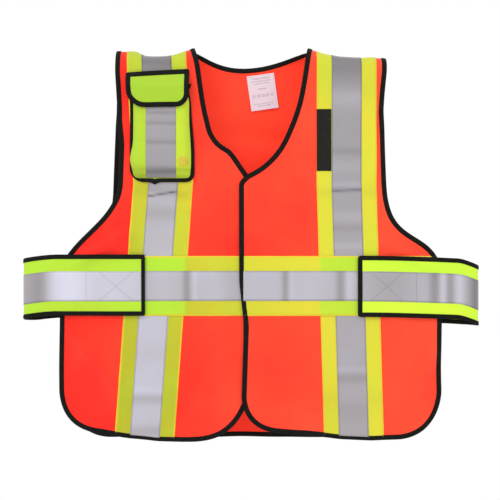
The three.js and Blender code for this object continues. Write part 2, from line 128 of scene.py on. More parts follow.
def depthAt(x):
    # Half the depth in plan: halfDepth times the cube root of 1 - (x / planEnd)^3.
    return halfDepth * np.cbrt(np.clip(1 - (np.abs(x) / planEnd) ** 3, 0.0, 1.0))


# how the cloth hangs
hang = dict(
    # soft ridges: x and height of both ends, how far they stand out, and their half width
    front=[
        (0.058, -0.530, 0.104, -0.612, 0.0030, 0.010),
        (0.262, -0.622, 0.312, -0.520, 0.0034, 0.012),
        (0.030, -0.300, 0.106, -0.352, -0.0022, 0.013),
        (0.215, -0.330, 0.305, -0.372, 0.0028, 0.012),
        (0.070, -0.215, 0.098, -0.300, 0.0018, 0.010),
        (-0.300, -0.500, -0.236, -0.560, 0.0030, 0.012),
        (-0.040, -0.520, -0.104, -0.640, 0.0030, 0.014),
        (-0.300, -0.372, -0.214, -0.322, 0.0030, 0.012),
        (-0.104, -0.262, -0.030, -0.332, 0.0024, 0.012),
        (-0.215, -0.238, -0.110, -0.262, -0.0016, 0.008),
        (0.228, -0.120, 0.206, -0.220, 0.0018, 0.009),
        (-0.060, -0.180, -0.088, -0.262, 0.0016, 0.010),
    ],
    back=[
        (-0.060, -0.140, 0.070, -0.160, 0.0020, 0.018),
        (-0.080, -0.300, 0.020, -0.350, 0.0026, 0.014),
        (0.010, -0.520, 0.060, -0.640, 0.0034, 0.016),
        (-0.120, -0.500, -0.060, -0.630, 0.0030, 0.013),
        (0.215, -0.320, 0.300, -0.372, 0.0028, 0.012),
        (-0.300, -0.372, -0.214, -0.322, 0.0028, 0.012),
        (0.240, -0.600, 0.306, -0.500, 0.0030, 0.013),
        (-0.306, -0.520, -0.236, -0.610, 0.0030, 0.013),
    ],
    ridgeGain=3.0,
    hemWave=0.0042,
    bodyWave=0.0018,
    stripBed=(0.100, 0.148, -0.232, -0.090),   # the loop strip's bed stays flat
    crestX=[-0.231, -0.205, -0.195, -0.183, -0.165, -0.142, -0.125, -0.112, -0.100,
            0.100, 0.120, 0.150, 0.190, 0.205, 0.231],
    crestShift=[0.0036, 0.001, 0.000, -0.010, -0.0125, -0.014, -0.010, -0.006, -0.0024,
                -0.0024, -0.009, -0.014, -0.0124, -0.009, -0.0094],
    dipDepth=0.0052,
    dipFrom=-0.060,
    dipTo=-0.024,
)


crestAcross = np.linspace(-chestX, chestX, 655)
crestBell = np.exp(-(np.arange(-15, 16) / 6.0) ** 2)
crestSunk = np.convolve(np.pad(np.interp(crestAcross, hang["crestX"], hang["crestShift"]), 15, "edge"),
                        crestBell / crestBell.sum(), "valid")   # the sag of the shoulders, smoothed


def ridges(x, z, lines):
    # Sum of ridges: a bell across each line times a smooth rise and fall along it.
    total = np.zeros(np.shape(x))
    for x0, z0, x1, z1, height, width in lines:
        along = np.array([x1 - x0, z1 - z0])
        length = np.hypot(*along)
        along = along / length
        t = ((x - x0) * along[0] + (z - z0) * along[1]) / length
        across = (x - x0) * -along[1] + (z - z0) * along[0]
        total += height * bump(across, 0.0, width) * smooth(t / 0.45 + 0.35) * smooth((1.35 - t) / 0.45)
    return hang["ridgeGain"] * total


def creases(x, z, face):
    # How far the cloth stands out from its plain bend, at x and height z on a face.
    below = smooth((waistZ - 0.05 - z) / 0.22)
    drift = 1.7 * face
    wave = hang["hemWave"] * below * (np.sin(x * 37 + drift) + 0.6 * np.sin(x * 61 - 2 * drift + z * 9))
    wave += hang["bodyWave"] * np.sin(x * 23 + z * 14 + drift) * np.sin(z * 19 - drift)
    front = ridges(x, z, hang["front"])
    back = ridges(x, z, hang["back"])
    x0, x1, z0, z1 = hang["stripBed"]
    bed = (smooth((x - x0) / 0.012) * smooth((x1 - x) / 0.012)
           * smooth((z - z0) / 0.02) * smooth((z1 - z) / 0.02))
    return (wave + np.where(face < 0, front, back)) * (1 - np.where(face < 0, bed, 0))


def wrapped(x, v, off, face):
    # Carries flat points to the garment: down a face, and round the shoulder arch above it.
    x, v, off = np.broadcast_arrays(np.asarray(x, float), v, off)
    start = startAt(x)
    rise = v - start
    angle = np.clip(rise / halfDepth, 0, np.pi)
    over = np.clip(rise - archLength, 0, None)
    under = np.clip(-rise, 0, None)
    distance = over + under
    faceHere = np.where(angle > np.pi / 2, -face, face)
    z = start + np.minimum(rise, 0) - over
    settle = smooth(distance / 0.07) * (1 - smooth((np.abs(x) - 0.300) / 0.05))
    out = off + creases(x, z, faceHere) * settle
    y = face * (depthAt(x) + out) * np.cos(angle)
    z = z + (halfDepth + out) * np.sin(angle)
    z = z + np.interp(x, crestAcross, crestSunk) * np.sin(angle) ** 2
    return np.stack([x, y, z], -1)


def onBack(x, v, off):
    return wrapped(x, v, off, 1)


def onFront(x, v, off):
    return wrapped(x, v, off, -1)


def onRightFront(u, v, off):
    # The right front dips under the left one in the middle.
    x = -np.asarray(u, float)
    dip = hang["dipDepth"] * smooth((x - hang["dipFrom"]) / (hang["dipTo"] - hang["dipFrom"]))
    return wrapped(x, v, off - dip, -1)


# meshes

def keep(name, points, faces, material, flat=None, tone=None, edge=None, green=None):
    # Makes one object from a point array and an integer face array, with its flat UV map.
    mesh = bpy.data.meshes.new(name)
    points = np.ascontiguousarray(points, dtype=np.float64).reshape(-1, 3)
    faces = [np.asarray(block) for block in faces if len(block)]
    first = np.concatenate([block[:, :3] for block in faces])
    last = np.concatenate([block[:, [0, 2, 3]] for block in faces if block.shape[1] == 4]
        or [np.zeros((0, 3), int)])
    corners = np.concatenate([points[first], points[last]])
    volume = np.einsum("ij,ij->i", corners[:, 0], np.cross(corners[:, 1], corners[:, 2])).sum()
    if volume < 0:
        faces = [block[:, ::-1] for block in faces]
    loops = np.concatenate([block.ravel() for block in faces])
    sizes = np.concatenate([np.full(len(block), block.shape[1]) for block in faces])
    mesh.vertices.add(len(points))
    mesh.vertices.foreach_set("co", points.astype(np.float32).ravel())
    mesh.loops.add(len(loops))
    mesh.loops.foreach_set("vertex_index", loops.astype(np.int32))
    mesh.polygons.add(len(sizes))
    starts = np.concatenate([[0], np.cumsum(sizes)[:-1]])
    mesh.polygons.foreach_set("loop_start", starts.astype(np.int32))
    mesh.update(calc_edges=True)
    mesh.polygons.foreach_set("use_smooth", np.ones(len(sizes), bool))
    layer = mesh.uv_layers.new(name="flat")
    source = points[:, [0, 2]] if flat is None else np.asarray(flat, float).reshape(-1, 2)
    layer.data.foreach_set("uv", source[loops].astype(np.float32).ravel())
    for title, values in (("tone", tone), ("edge", edge), ("green", green)):
        data = np.zeros(len(points)) if values is None else np.asarray(values, float).ravel()
        attribute = mesh.attributes.new(title, "FLOAT", "POINT")
        attribute.data.foreach_set("value", data.astype(np.float32))
    mesh.materials.append(material)
    mesh.validate()
    piece = bpy.data.objects.new(name, mesh)
    bpy.context.scene.collection.objects.link(piece)
    return piece


def gridFaces(rows, columns, first=0, closedRows=False, closedColumns=False):
    # Quads between neighbouring points of a rows by columns grid.
    r = np.arange(rows if closedRows else rows - 1)
    c = np.arange(columns if closedColumns else columns - 1)
    r, c = np.meshgrid(r, c, indexing="ij")
    r, c = r.ravel(), c.ravel()
    r1, c1 = (r + 1) % rows, (c + 1) % columns
    return first + np.stack([r * columns + c, r * columns + c1, r1 * columns + c1, r1 * columns + c], 1)


def rimFaces(rows, columns, shift):
    # Quads that join the rims of two equal grids, the second one shift points later.
    top = np.arange(columns)
    right = np.arange(1, rows) * columns + columns - 1
    bottom = (rows - 1) * columns + np.arange(columns - 2, -1, -1)
    left = np.arange(rows - 2, 0, -1) * columns
    rim = np.concatenate([top, right, bottom, left])
    following = np.roll(rim, -1)
    return np.stack([rim, rim + shift, following + shift, following], 1)


def sheetOf(name, u, v, inner, wall, carry, material, tone=None, edge=None, green=None, bulge=0.0):
    # A closed sheet over the grid (u, v): its inner and outer faces and the rim between them. bulge
    # is how far the outer face falls at the rim, so that a cut edge looks rounded.
    inner = np.broadcast_to(inner, u.shape)
    outer = inner + wall
    if bulge:
        outer = outer.copy()
        outer[[0, -1], :] -= bulge
        outer[:, [0, -1]] -= bulge
    points = np.concatenate([carry(u, v, outer).reshape(-1, 3), carry(u, v, inner).reshape(-1, 3)])
    rows, columns = u.shape
    count = rows * columns
    faces = np.concatenate([gridFaces(rows, columns), gridFaces(rows, columns, count)[:, ::-1],
        rimFaces(rows, columns, count)])
    flat = np.stack([u, v], -1).reshape(-1, 2)

    def twice(values):
        return None if values is None else np.tile(np.broadcast_to(values, u.shape).ravel(), 2)

    return keep(name, points, [faces], material, np.tile(flat, (2, 1)), twice(tone), twice(edge),
        twice(green))


# flat curves

def bezier(a, b, c, d, steps=24):
    # The cubic curve from a to d with the handles b and c.
    a, b, c, d = (np.asarray(point, float) for point in (a, b, c, d))
    t = np.linspace(0, 1, steps)[:, None]
    return (1 - t) ** 3 * a + 3 * t * (1 - t) ** 2 * b + 3 * t * t * (1 - t) * c + t ** 3 * d


def evenly(points, spacing, closed=False):
    # The same line with its points a fixed distance apart.
    points = np.asarray(points, float)
    if closed:
        points = np.vstack([points, points[:1]])
    steps = np.hypot(*np.diff(points, axis=0).T)
    along = np.concatenate([[0], np.cumsum(steps)])
    count = max(2, int(round(along[-1] / spacing)) + 1)
    at = np.linspace(0, along[-1], count)
    made = np.stack([np.interp(at, along, points[:, k]) for k in range(points.shape[1])], 1)
    return made[:-1] if closed else made


def softened(points, times, closed=True):
    # Rounds corners: each point moves to a quarter, half, quarter mean with its neighbours.
    for _ in range(times):
        if closed:
            points = (np.roll(points, 1, 0) + 2 * points + np.roll(points, -1, 0)) / 4
        else:
            points = np.vstack([points[:1], (points[:-2] + 2 * points[1:-1] + points[2:]) / 4,
                points[-1:]])
    return points


def inwards(points, closed=True):
    # Unit normals on the left of an anticlockwise line, which is its inner side.
    if closed:
        along = np.roll(points, -1, 0) - np.roll(points, 1, 0)
    else:
        along = np.gradient(points, axis=0)
    along = along / np.hypot(*along.T)[:, None]
    return np.stack([-along[:, 1], along[:, 0]], 1)


def inset(points, distance):
    return points + inwards(points) * distance


def patch(loop, corners, columns, rows):
    # A Coons grid inside a closed anticlockwise loop. The corners go from the lower left one
    # anticlockwise. The upper and lower sides are spaced by x, the others by height.
    at = [int(np.argmin(np.hypot(*(loop - corner).T))) for corner in corners]

    def side(i, k):
        stop = at[k] if at[k] > at[i] else at[k] + len(loop)
        return loop[np.arange(at[i], stop + 1) % len(loop)]

    def spaced(line, axis, count):
        reach = np.maximum.accumulate(line[:, axis])
        goal = np.linspace(reach[0], reach[-1], count)
        other = np.interp(goal, reach + np.arange(len(reach)) * 1e-9, line[:, 1 - axis])
        return np.stack([goal, other] if axis == 0 else [other, goal], 1)

    bottom = spaced(side(0, 1), 0, columns)
    right = spaced(side(1, 2), 1, rows)
    top = spaced(side(2, 3)[::-1], 0, columns)
    left = spaced(side(3, 0)[::-1], 1, rows)
    s = np.linspace(0, 1, columns)[None, :, None]
    t = np.linspace(0, 1, rows)[:, None, None]
    grid = (1 - t) * bottom[None] + t * top[None] + (1 - s) * left[:, None] + s * right[:, None]
    grid -= ((1 - s) * (1 - t) * bottom[0] + s * (1 - t) * bottom[-1] + (1 - s) * t * top[0]
        + s * t * top[-1])
    return grid[..., 0], grid[..., 1]


# materials

def newMaterial(name, roughness, **sockets):
    material = bpy.data.materials.new(name)
    material.use_nodes = True
    tree = material.node_tree
    shader = tree.nodes["Principled BSDF"]
    shader.inputs["Roughness"].default_value = roughness
    for socket, value in sockets.items():
        shader.inputs[socket.replace("_", " ")].default_value = value
    return material, tree, shader


def node(tree, kind, **settings):
    made = tree.nodes.new(kind)
    for key, value in settings.items():
        if key in made.inputs:
            made.inputs[key].default_value = value
        else:
            setattr(made, key, value)
    return made


def mathNode(tree, operation, a, b=None, clamp=False):
    made = node(tree, "ShaderNodeMath", operation=operation, use_clamp=clamp)
    for index, value in enumerate((a, b)):
        if value is None:
            continue
        if isinstance(value, (int, float)):
            made.inputs[index].default_value = value
        else:
            tree.links.new(value, made.inputs[index])
    return made.outputs[0]


def mixColors(tree, factor, first, second, mode="MIX"):
    # first where the factor is 0 and second where it is 1.
    made = node(tree, "ShaderNodeMix", data_type="RGBA", blend_type=mode)
    for index, value in ((0, factor), (6, first), (7, second)):
        if isinstance(value, bpy.types.NodeSocket):
            tree.links.new(value, made.inputs[index])
        elif index == 0:
            made.inputs[index].default_value = value
        else:
            made.inputs[index].default_value = (*value, 1)
    return made.outputs[2]


def flatCoordinates(tree, scale, turn=0.0):
    # The piece's own flat coordinates, in metres, times a scale.
    uv = node(tree, "ShaderNodeUVMap", uv_map="flat")
    mapping = node(tree, "ShaderNodeMapping")
    mapping.inputs["Scale"].default_value = (scale, scale, scale)
    mapping.inputs["Rotation"].default_value = (0, 0, turn)
    tree.links.new(uv.outputs[0], mapping.inputs[0])
    return mapping.outputs[0]


def noiseOf(tree, vector, scale, detail=2.0):
    made = node(tree, "ShaderNodeTexNoise", Scale=scale, Detail=detail)
    tree.links.new(vector, made.inputs["Vector"])
    return made.outputs["Fac"]


def spread(tree, value, fromLow, fromHigh, toLow=0.0, toHigh=1.0):
    made = node(tree, "ShaderNodeMapRange")
    tree.links.new(value, made.inputs[0])
    for index, number in enumerate((fromLow, fromHigh, toLow, toHigh), 1):
        made.inputs[index].default_value = number
    return made.outputs[0]


def speckle(tree, place, scale, detail, fromLow, fromHigh, toLow=0.0, toHigh=1.0):
    # Noise at a place, spread from one range of values to another.
    return spread(tree, noiseOf(tree, place, scale, detail), fromLow, fromHigh, toLow, toHigh)


def axesOf(tree, place):
    # The x, y and z of a place.
    parts = node(tree, "ShaderNodeSeparateXYZ")
    tree.links.new(place, parts.inputs[0])
    return parts.outputs


def paint(tree, shader, color):
    tree.links.new(color, shader.inputs["Base Color"])


def objectPlace(tree):
    return node(tree, "ShaderNodeTexCoord").outputs["Object"]


def attributeOf(tree, name):
    return node(tree, "ShaderNodeAttribute", attribute_name=name).outputs["Fac"]


def weaveHeight(tree, pitch, turn):
    # Crossing threads: two sine ribs at right angles, a pitch apart, multiplied together.
    place = flatCoordinates(tree, 1 / pitch, turn)
    axes = axesOf(tree, place)
    ribs = [mathNode(tree, "SINE", mathNode(tree, "MULTIPLY", axes[k], 2 * math.pi)) for k in (0, 1)]
    return mathNode(tree, "MULTIPLY", ribs[0], ribs[1])


def raiseBump(tree, shader, heights, distance, strength):
    # Bump from a sum of heights.
    total = heights[0]
    for height in heights[1:]:
        total = mathNode(tree, "ADD", total, height)
    made = node(tree, "ShaderNodeBump", Strength=strength, Distance=distance)
    tree.links.new(total, made.inputs["Height"])
    tree.links.new(made.outputs[0], shader.inputs["Normal"])


def toned(tree, color, gain=1.0):
    # Multiplies a colour by 1 + gain times the piece's tone attribute, which holds painted shade and
    # highlight on the tapes, strap, pouch and flap.
    tone = mathNode(tree, "ADD", mathNode(tree, "MULTIPLY", attributeOf(tree, "tone"), gain), 1.0)
    grey = node(tree, "ShaderNodeCombineColor")
    for socket in grey.inputs:
        tree.links.new(tone, socket)
    return mixColors(tree, 1.0, color, grey.outputs[0], "MULTIPLY")


def makeKnit():
    # Fluorescent orange knit: slow changes of colour, painted shade towards negative x, fine wales, worn
    # lighter spots, and a painted glow that lifts its shaded parts.
    look = dict(deep=(0.93, 0.012, 0.006), light=(1.0, 0.072, 0.026), wale=0.0011,
        paintedGlow=(1.0, 0.070, 0.035))
    # The emission is a painted glow: it lightens the knit where it lies in shade.
    material, tree, shader = newMaterial("orangeKnit", 0.82, Sheen_Weight=0.12, Sheen_Roughness=0.5,
        Specular_IOR_Level=0.25, Emission_Color=(*look["paintedGlow"], 1), Emission_Strength=0.13)
    place = objectPlace(tree)
    # across is painted shade: the knit darkens towards negative x.
    across = spread(tree, axesOf(tree, place)[0], -0.26, 0.16, 0.08, 0.82)
    slow = speckle(tree, place, 7.0, 3.0, 0.3, 0.7, -0.28, 0.28)
    fine = speckle(tree, flatCoordinates(tree, 1.0), 420.0, 2.0, 0.3, 0.7, -0.1, 0.1)
    share = mathNode(tree, "ADD", mathNode(tree, "ADD", across, slow), fine, clamp=True)
    color = mixColors(tree, share, look["deep"], look["light"])
    paint(tree, shader, toned(tree, color))
    grain = speckle(tree, flatCoordinates(tree, 1.0), 900.0, 2.0, 0.0, 1.0, -0.5, 0.5)
    raiseBump(tree, shader, [weaveHeight(tree, look["wale"], 0.0), grain], 0.0003, 0.5)
    return material


def makeLime():
    # Fluorescent tape: ribbed weave, a warmer sewn edge, and slow drifts to green or yellow.
    look = dict(green=(0.47, 0.78, 0.032), yellow=(0.76, 0.685, 0.034), dull=(0.50, 0.49, 0.017),
        edge=(1.0, 0.74, 0.035), edgeWide=0.0029, edgeSoft=0.0006, rib=0.0009)
    material, tree, shader = newMaterial("limeTape", 0.72, Sheen_Weight=0.1, Specular_IOR_Level=0.3)
    place = objectPlace(tree)
    slow = speckle(tree, place, 9.0, 2.0, 0.35, 0.65, -0.05, 0.25)
    share = mathNode(tree, "ADD", attributeOf(tree, "green"), slow, clamp=True)
    axes = axesOf(tree, place)
    rise = mathNode(tree, "ADD", mathNode(tree, "MULTIPLY", axes[2], 0.5), axes[0])
    yellow = mixColors(tree, spread(tree, rise, -0.42, -0.12), look["dull"], look["yellow"])
    color = mixColors(tree, share, yellow, look["green"])
    near = spread(tree, attributeOf(tree, "edge"), look["edgeWide"] - look["edgeSoft"],
        look["edgeWide"], 1.0, 0.0)
    rough = speckle(tree, flatCoordinates(tree, 1.0), 160.0, 2.0, 0.3, 0.7, 0.65, 1.0)
    color = mixColors(tree, mathNode(tree, "MULTIPLY", near, rough), color, look["edge"])
    paint(tree, shader, toned(tree, color))
    grain = speckle(tree, flatCoordinates(tree, 1.0), 1100.0, 2.0, 0.0, 1.0, -0.5, 0.5)
    raiseBump(tree, shader, [weaveHeight(tree, look["rib"], math.pi / 4), grain], 0.00025, 0.5)
    return material


def makeSilver():
    # Retroreflective satin: pale lilac grey with soft cloudy tones and a fine bead grain.
    look = dict(dark=(0.47, 0.435, 0.45), pale=(0.53, 0.525, 0.62))
    material, tree, shader = newMaterial("silverTape", 0.46, Metallic=0.25, Specular_IOR_Level=0.4)
    place = objectPlace(tree)
    cloud = speckle(tree, place, 14.0, 3.0, 0.3, 0.7, -0.2, 0.2)
    # The tone attribute's painted shade also moves the silver from its pale colour to its dark one.
    warm = spread(tree, attributeOf(tree, "tone"), -0.3, 0.1, 0.05, 0.9)
    color = mixColors(tree, mathNode(tree, "ADD", warm, cloud, clamp=True), look["dark"], look["pale"])
    speck = speckle(tree, flatCoordinates(tree, 1.0), 700.0, 2.0, 0.3, 0.7, 0.0, 0.16)
    color = mixColors(tree, speck, color, look["pale"])
    paint(tree, shader, toned(tree, color))
    beads = noiseOf(tree, flatCoordinates(tree, 1.0), 1500.0, 1.0)
    raiseBump(tree, shader, [beads, weaveHeight(tree, 0.0016, math.pi / 4)], 0.00015, 0.35)
    return material


def makeBinding():
    # Black folded tape: fine cross ribs and a soft dusty sheen.
    look = dict(dark=(0.0065, 0.0075, 0.0060), dusty=(0.014, 0.0145, 0.0125))
    material, tree, shader = newMaterial("blackBinding", 0.9, Sheen_Weight=0.02, Sheen_Roughness=0.5,
        Specular_IOR_Level=0.08)
    share = speckle(tree, objectPlace(tree), 260.0, 3.0, 0.35, 0.7)
    paint(tree, shader, mixColors(tree, share, look["dark"], look["dusty"]))
    raiseBump(tree, shader, [weaveHeight(tree, 0.0010, 0.0)], 0.0003, 0.7)
    return material


def makePile(name, dark, dusty, scale):
    # Hook or loop pile: a rough matt surface of tiny tufts.
    material, tree, shader = newMaterial(name, 0.95, Sheen_Weight=0.02, Sheen_Roughness=0.6,
        Specular_IOR_Level=0.06)
    tufts = noiseOf(tree, objectPlace(tree), scale, 4.0)
    paint(tree, shader, mixColors(tree, spread(tree, tufts, 0.35, 0.7), dark, dusty))
    raiseBump(tree, shader, [tufts], 0.0010, 0.9)
    return material


def makeThread(name, color):
    # Sewing thread: a twisted sheen along each stitch.
    material, tree, shader = newMaterial(name, 0.6, Sheen_Weight=0.02, Specular_IOR_Level=0.1)
    twist = speckle(tree, objectPlace(tree), 900.0, 2.0, 0.3, 0.7, 0.0, 0.5)
    dark = tuple(part * 0.6 for part in color)
    paint(tree, shader, mixColors(tree, twist, color, dark))
    return material


def makeAmber():
    # The small amber dot on the pouch: a softly glossy woven spot, darker towards one side.
    material, tree, shader = newMaterial("amberDot", 0.5, Specular_IOR_Level=0.3)
    share = speckle(tree, objectPlace(tree), 90.0, 2.0, 0.3, 0.7)
    paint(tree, shader, mixColors(tree, share, (0.60, 0.44, 0.035), (0.56, 0.55, 0.04)))
    raiseBump(tree, shader, [noiseOf(tree, objectPlace(tree), 1200.0, 2.0)], 0.0002, 0.5)
    return material


def makeSatin():
    # Label satin: pinkish white with faint generic rows of short marks.
    look = dict(white=(0.76, 0.64, 0.71), mark=(0.36, 0.31, 0.38))
    material, tree, shader = newMaterial("labelSatin", 0.5, Sheen_Weight=0.15)
    share = mathNode(tree, "MULTIPLY", attributeOf(tree, "tone"), 1.0, clamp=True)
    paint(tree, shader, mixColors(tree, share, look["white"], look["mark"]))
    raiseBump(tree, shader, [weaveHeight(tree, 0.0006, 0.0)], 0.0001, 0.5)
    return material


knit = makeKnit()
lime = makeLime()
silver = makeSilver()
black = makeBinding()
pile = makePile("loopPile", (0.008, 0.0075, 0.007), (0.035, 0.032, 0.028), 900.0)
hooks = makePile("hookPile", (0.011, 0.010, 0.009), (0.05, 0.047, 0.042), 1300.0)
satin = makeSatin()
amber = makeAmber()
limeThread = makeThread("limeThread", (0.62, 0.72, 0.05))
greyThread = makeThread("greyThread", (0.20, 0.19, 0.21))
blackThread = makeThread("blackThread", (0.016, 0.016, 0.015))
whiteThread = makeThread("whiteThread", (0.8, 0.72, 0.76))
print("materials made")


# binding and stitches
bindingLook = dict(spacing=0.004, lip=0.00045, swell=0.0003)


def bindingProfile(wall, wide):
    # A folded strip as seen from its end: distance in from the cut edge, and offset from the middle
    # of the cloth. It goes along one outer wall, round the edge and back inside.
    outer = wall / 2 + garment["bindingWall"]
    inner = wall / 2 + 0.00005
    swell = bindingLook["swell"]
    half = [(wide, inner), (wide - 0.0001, outer - bindingLook["lip"]), (wide - 0.0006, outer),
        (wide * 0.62, outer + swell), (wide * 0.3, outer + swell), (0.0014, outer),
        (0.0004, outer * 0.72)]
    rounded = half + [(0.0, 0.0)] + [(d, -h) for d, h in half[::-1]]
    slot = [(0.0016, -inner), (0.0013, 0.0), (0.0016, inner)]
    return np.array(rounded + slot)


def bound(name, line, middleOffset, wall, wide, carry, material, closed=True):
    # Sweeps the folded profile along a flat line whose inner side is on its left.
    profile = bindingProfile(wall, wide)
    normal = inwards(line, closed)
    u = line[:, None, 0] + normal[:, None, 0] * profile[None, :, 0]
    v = line[:, None, 1] + normal[:, None, 1] * profile[None, :, 0]
    step = np.arange(len(line))
    ripple = 1 + 0.05 * np.sin(step * 1.9)[:, None] * np.sin(step * 0.37)[:, None]
    base = middleOffset if np.ndim(middleOffset) == 0 else np.asarray(middleOffset)[:, None]
    off = base + profile[None, :, 1] * ripple
    points = carry(u, v, off).reshape(-1, 3)
    rows, columns = u.shape
    faces = [gridFaces(rows, columns, 0, closed, True)]
    if not closed:
        arms = np.array([[0, 1, 2, 3, 4, 5, 6, 7, 16, 17], [7, 8, 9, 10, 11, 12, 13, 14, 15, 16]])
        faces += [arms[:, ::-1], arms + (rows - 1) * columns]   # both arms of the fold, at each end
    along = np.concatenate([[0], np.cumsum(np.hypot(*np.diff(line, axis=0).T))])
    flat = np.stack([np.broadcast_to(along[:, None], u.shape), np.broadcast_to(profile[None, :, 0],
        u.shape)], -1)
    return keep(name, points, faces, material, flat)


stitchLook = dict(pitch=0.0034, length=0.0025, width=0.0005, height=0.00035)


def stitches(name, seams, carry, material):
    # Small spindles along flat lines: each is two tips and two rings of four points. seams is a
    # list of (line, offset), and the offset may be a number or one value per point.
    look = stitchLook
    along = np.array([-0.5, -0.28, -0.28, -0.28, -0.28, 0.28, 0.28, 0.28, 0.28, 0.5]) * look["length"]
    across = np.array([0, -1, 0, 1, 0, -1, 0, 1, 0, 0]) * look["width"] / 2
    up = np.array([0, 0, 1, 0, -1, 0, 1, 0, -1, 0]) * look["height"]
    quads = np.array([[1, 2, 6, 5], [2, 3, 7, 6], [3, 4, 8, 7], [4, 1, 5, 8]])
    tips = np.array([[0, 2, 1], [0, 3, 2], [0, 4, 3], [0, 1, 4], [9, 5, 6], [9, 6, 7], [9, 7, 8],
        [9, 8, 5]])
    clouds, total = [], 0
    for line, offset in seams:
        joined = np.column_stack([line, np.broadcast_to(offset, len(line))])
        spots = evenly(joined, look["pitch"])
        if len(spots) < 3:
            continue
        heading = np.gradient(spots[:, :2], axis=0)
        heading /= np.hypot(*heading.T)[:, None]
        u = spots[:, None, 0] + heading[:, None, 0] * along - heading[:, None, 1] * across
        v = spots[:, None, 1] + heading[:, None, 1] * along + heading[:, None, 0] * across
        clouds.append(carry(u, v, spots[:, None, 2] + up).reshape(-1, 3))
        total += len(spots)
    points = np.concatenate(clouds)
    firsts = np.arange(total)[:, None, None] * 10
    faces = [(quads[None] + firsts).reshape(-1, 4), (tips[None] + firsts).reshape(-1, 3)]
    return keep(name, points, faces, material)


def finish(piece, nodes):
    # Hides the frame nodes that a piece stands for.
    if nodes:
        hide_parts(*nodes)
    return piece


def place(piece, body, slot, *nodes):
    # Rides a piece on one body.
    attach(piece, body)
    return finish(piece, nodes)


def bend(piece, side, slot, *nodes):
    # A piece of a front that crosses the fold line of its fly.
    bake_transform(piece)
    return finish(piece, nodes)


# camera, light and floor
studio = dict(
    eye=(-0.0017, -2.39, -0.347), lens=100.0, sensor=36.0,
    worldStrength=1.0, key=17.0, fill=4.0, floorZ=-1.55, floorRadius=3.0,
)


def makeStudio():
    scene = bpy.context.scene
    camera = bpy.data.objects.new("camera", bpy.data.cameras.new("camera"))
    scene.collection.objects.link(camera)
    camera.location = studio["eye"]
    camera.rotation_euler = (math.pi / 2, 0, 0)
    camera.data.lens = studio["lens"]
    camera.data.sensor_width = studio["sensor"]
    camera.data.clip_end = 50
    scene.camera = camera
    world = bpy.data.worlds.new("softRoom")
    scene.world = world
    world.use_nodes = True
    background = world.node_tree.nodes["Background"]
    background.inputs["Color"].default_value = (1, 1, 1, 1)
    background.inputs["Strength"].default_value = studio["worldStrength"]
    for name, power, spot, size in (("key", studio["key"], (-1.3, -1.7, 1.2), 0.9),
            ("fill", studio["fill"], (1.5, -1.5, 0.1), 1.4), ("backLight", studio["fill"],
            (0.4, 1.9, 0.9), 1.2)):
        lamp = bpy.data.objects.new(name, bpy.data.lights.new(name, "AREA"))
        lamp.data.energy = power
        lamp.data.size = size
        lamp.location = spot
        aim = np.array([0, 0, -0.35]) - np.array(spot)
        lamp.rotation_mode = "QUATERNION"
        lamp.rotation_quaternion = Vector(aim).to_track_quat("-Z", "Y")
        scene.collection.objects.link(lamp)
    radius, sides = studio["floorRadius"], 96
    ring = np.linspace(0, 2 * math.pi, sides, endpoint=False)
    rim = np.stack([radius * np.cos(ring), radius * np.sin(ring), np.full(sides, studio["floorZ"])], 1)
    points = np.vstack([[0, 0, studio["floorZ"]], rim])
    turn = np.arange(sides)
    faces = np.stack([np.zeros(sides, int), 1 + turn, 1 + (turn + 1) % sides], 1)
    material, tree, shader = newMaterial("paleFloor", 0.9)
    shade = noiseOf(tree, objectPlace(tree), 3.0)
    paint(tree, shader, mixColors(tree, shade, (0.84, 0.84, 0.84), (0.88, 0.88, 0.88)))
    floor = keep("floor", points, [faces], material)
    scene.view_settings.view_transform = "Standard"
    print("studio made")


makeStudio()


# body panels
frontCuts = dict(
    right=dict(
        chest=[(0.071, -0.130), (0.068, -0.150), (0.055, -0.168), (0.040, -0.1735),
               (0.029, -0.178), (0.020, -0.200), (-0.008, -0.236)],
        edge=[(-0.008, hemZ + 0.152)],
        corner=[(-0.006, hemZ + 0.058), (0.023, hemZ - 0.001), (0.103, hemZ - 0.0005)],
        hem=[(0.160, hemZ - 0.0002), (0.205, hemZ + 0.0047), (chestX - 0.072, hemZ + 0.0142)],
        tape=[0.181, 0.149, 0.162], innerCorner=(0.026, hemZ + 0.040), armGather=(0.0058, 0.115),
        armhole=[(0.009, 0.086), (-0.002, 0.053)], neckLean=(0.0044, 0.0), sideGather=-0.0012,
        rise=[(0.032, 0.0165), (0.005, 0.036)],
    ),
    left=dict(
        chest=[(0.071, -0.130), (0.058, -0.161), (0.037, -0.200), (-0.008, -0.219)],
        edge=[(-0.0205, -0.232), (-0.020, waistZ + 0.008), (-0.012, waistZ - 0.067),
              (-0.016, hemZ + 0.072)],
        corner=[(-0.013, hemZ + 0.040), (0.007, hemZ + 0.018), (0.040, hemZ + 0.0145)],
        hem=[(0.093, hemZ + 0.011), (0.150, hemZ + 0.0035), (0.205, hemZ + 0.001),
             (chestX - 0.074, hemZ + 0.004)],
        tape=[0.175, 0.162, 0.1625], innerCorner=(0.001, hemZ + 0.030), armGather=(0.0018, 0.030),
        armhole=[(0.013, 0.065), (0.002, 0.097)], neckLean=(0.0008, 0.0026), sideGather=0.0022,
        rise=[(0.034, 0.010), (0.007, 0.033)],
    ),
)
outerCorner = (chestX - 0.020, hemZ + 0.022)
neckX, armX = garment["neckX"], garment["armX"]


def armholeLine(lower=(0.013, 0.065), upper=(0.002, 0.097)):
    # From the side up to the shoulder. The two handles say how full its S curve is.
    z = garment["armholeZ"]
    curve = bezier((chestX - 0.002, z - garment["armholeSide"]), (chestX - lower[0], z - lower[1]),
        (armX + upper[0], z - upper[1]), (armX + 0.001, z))
    return [curve, [(armX - 0.004, z + 0.134), (armX, startAt(armX))]]


def lapEnd(x):
    return startAt(x) + archLength + garment["lapBelow"]


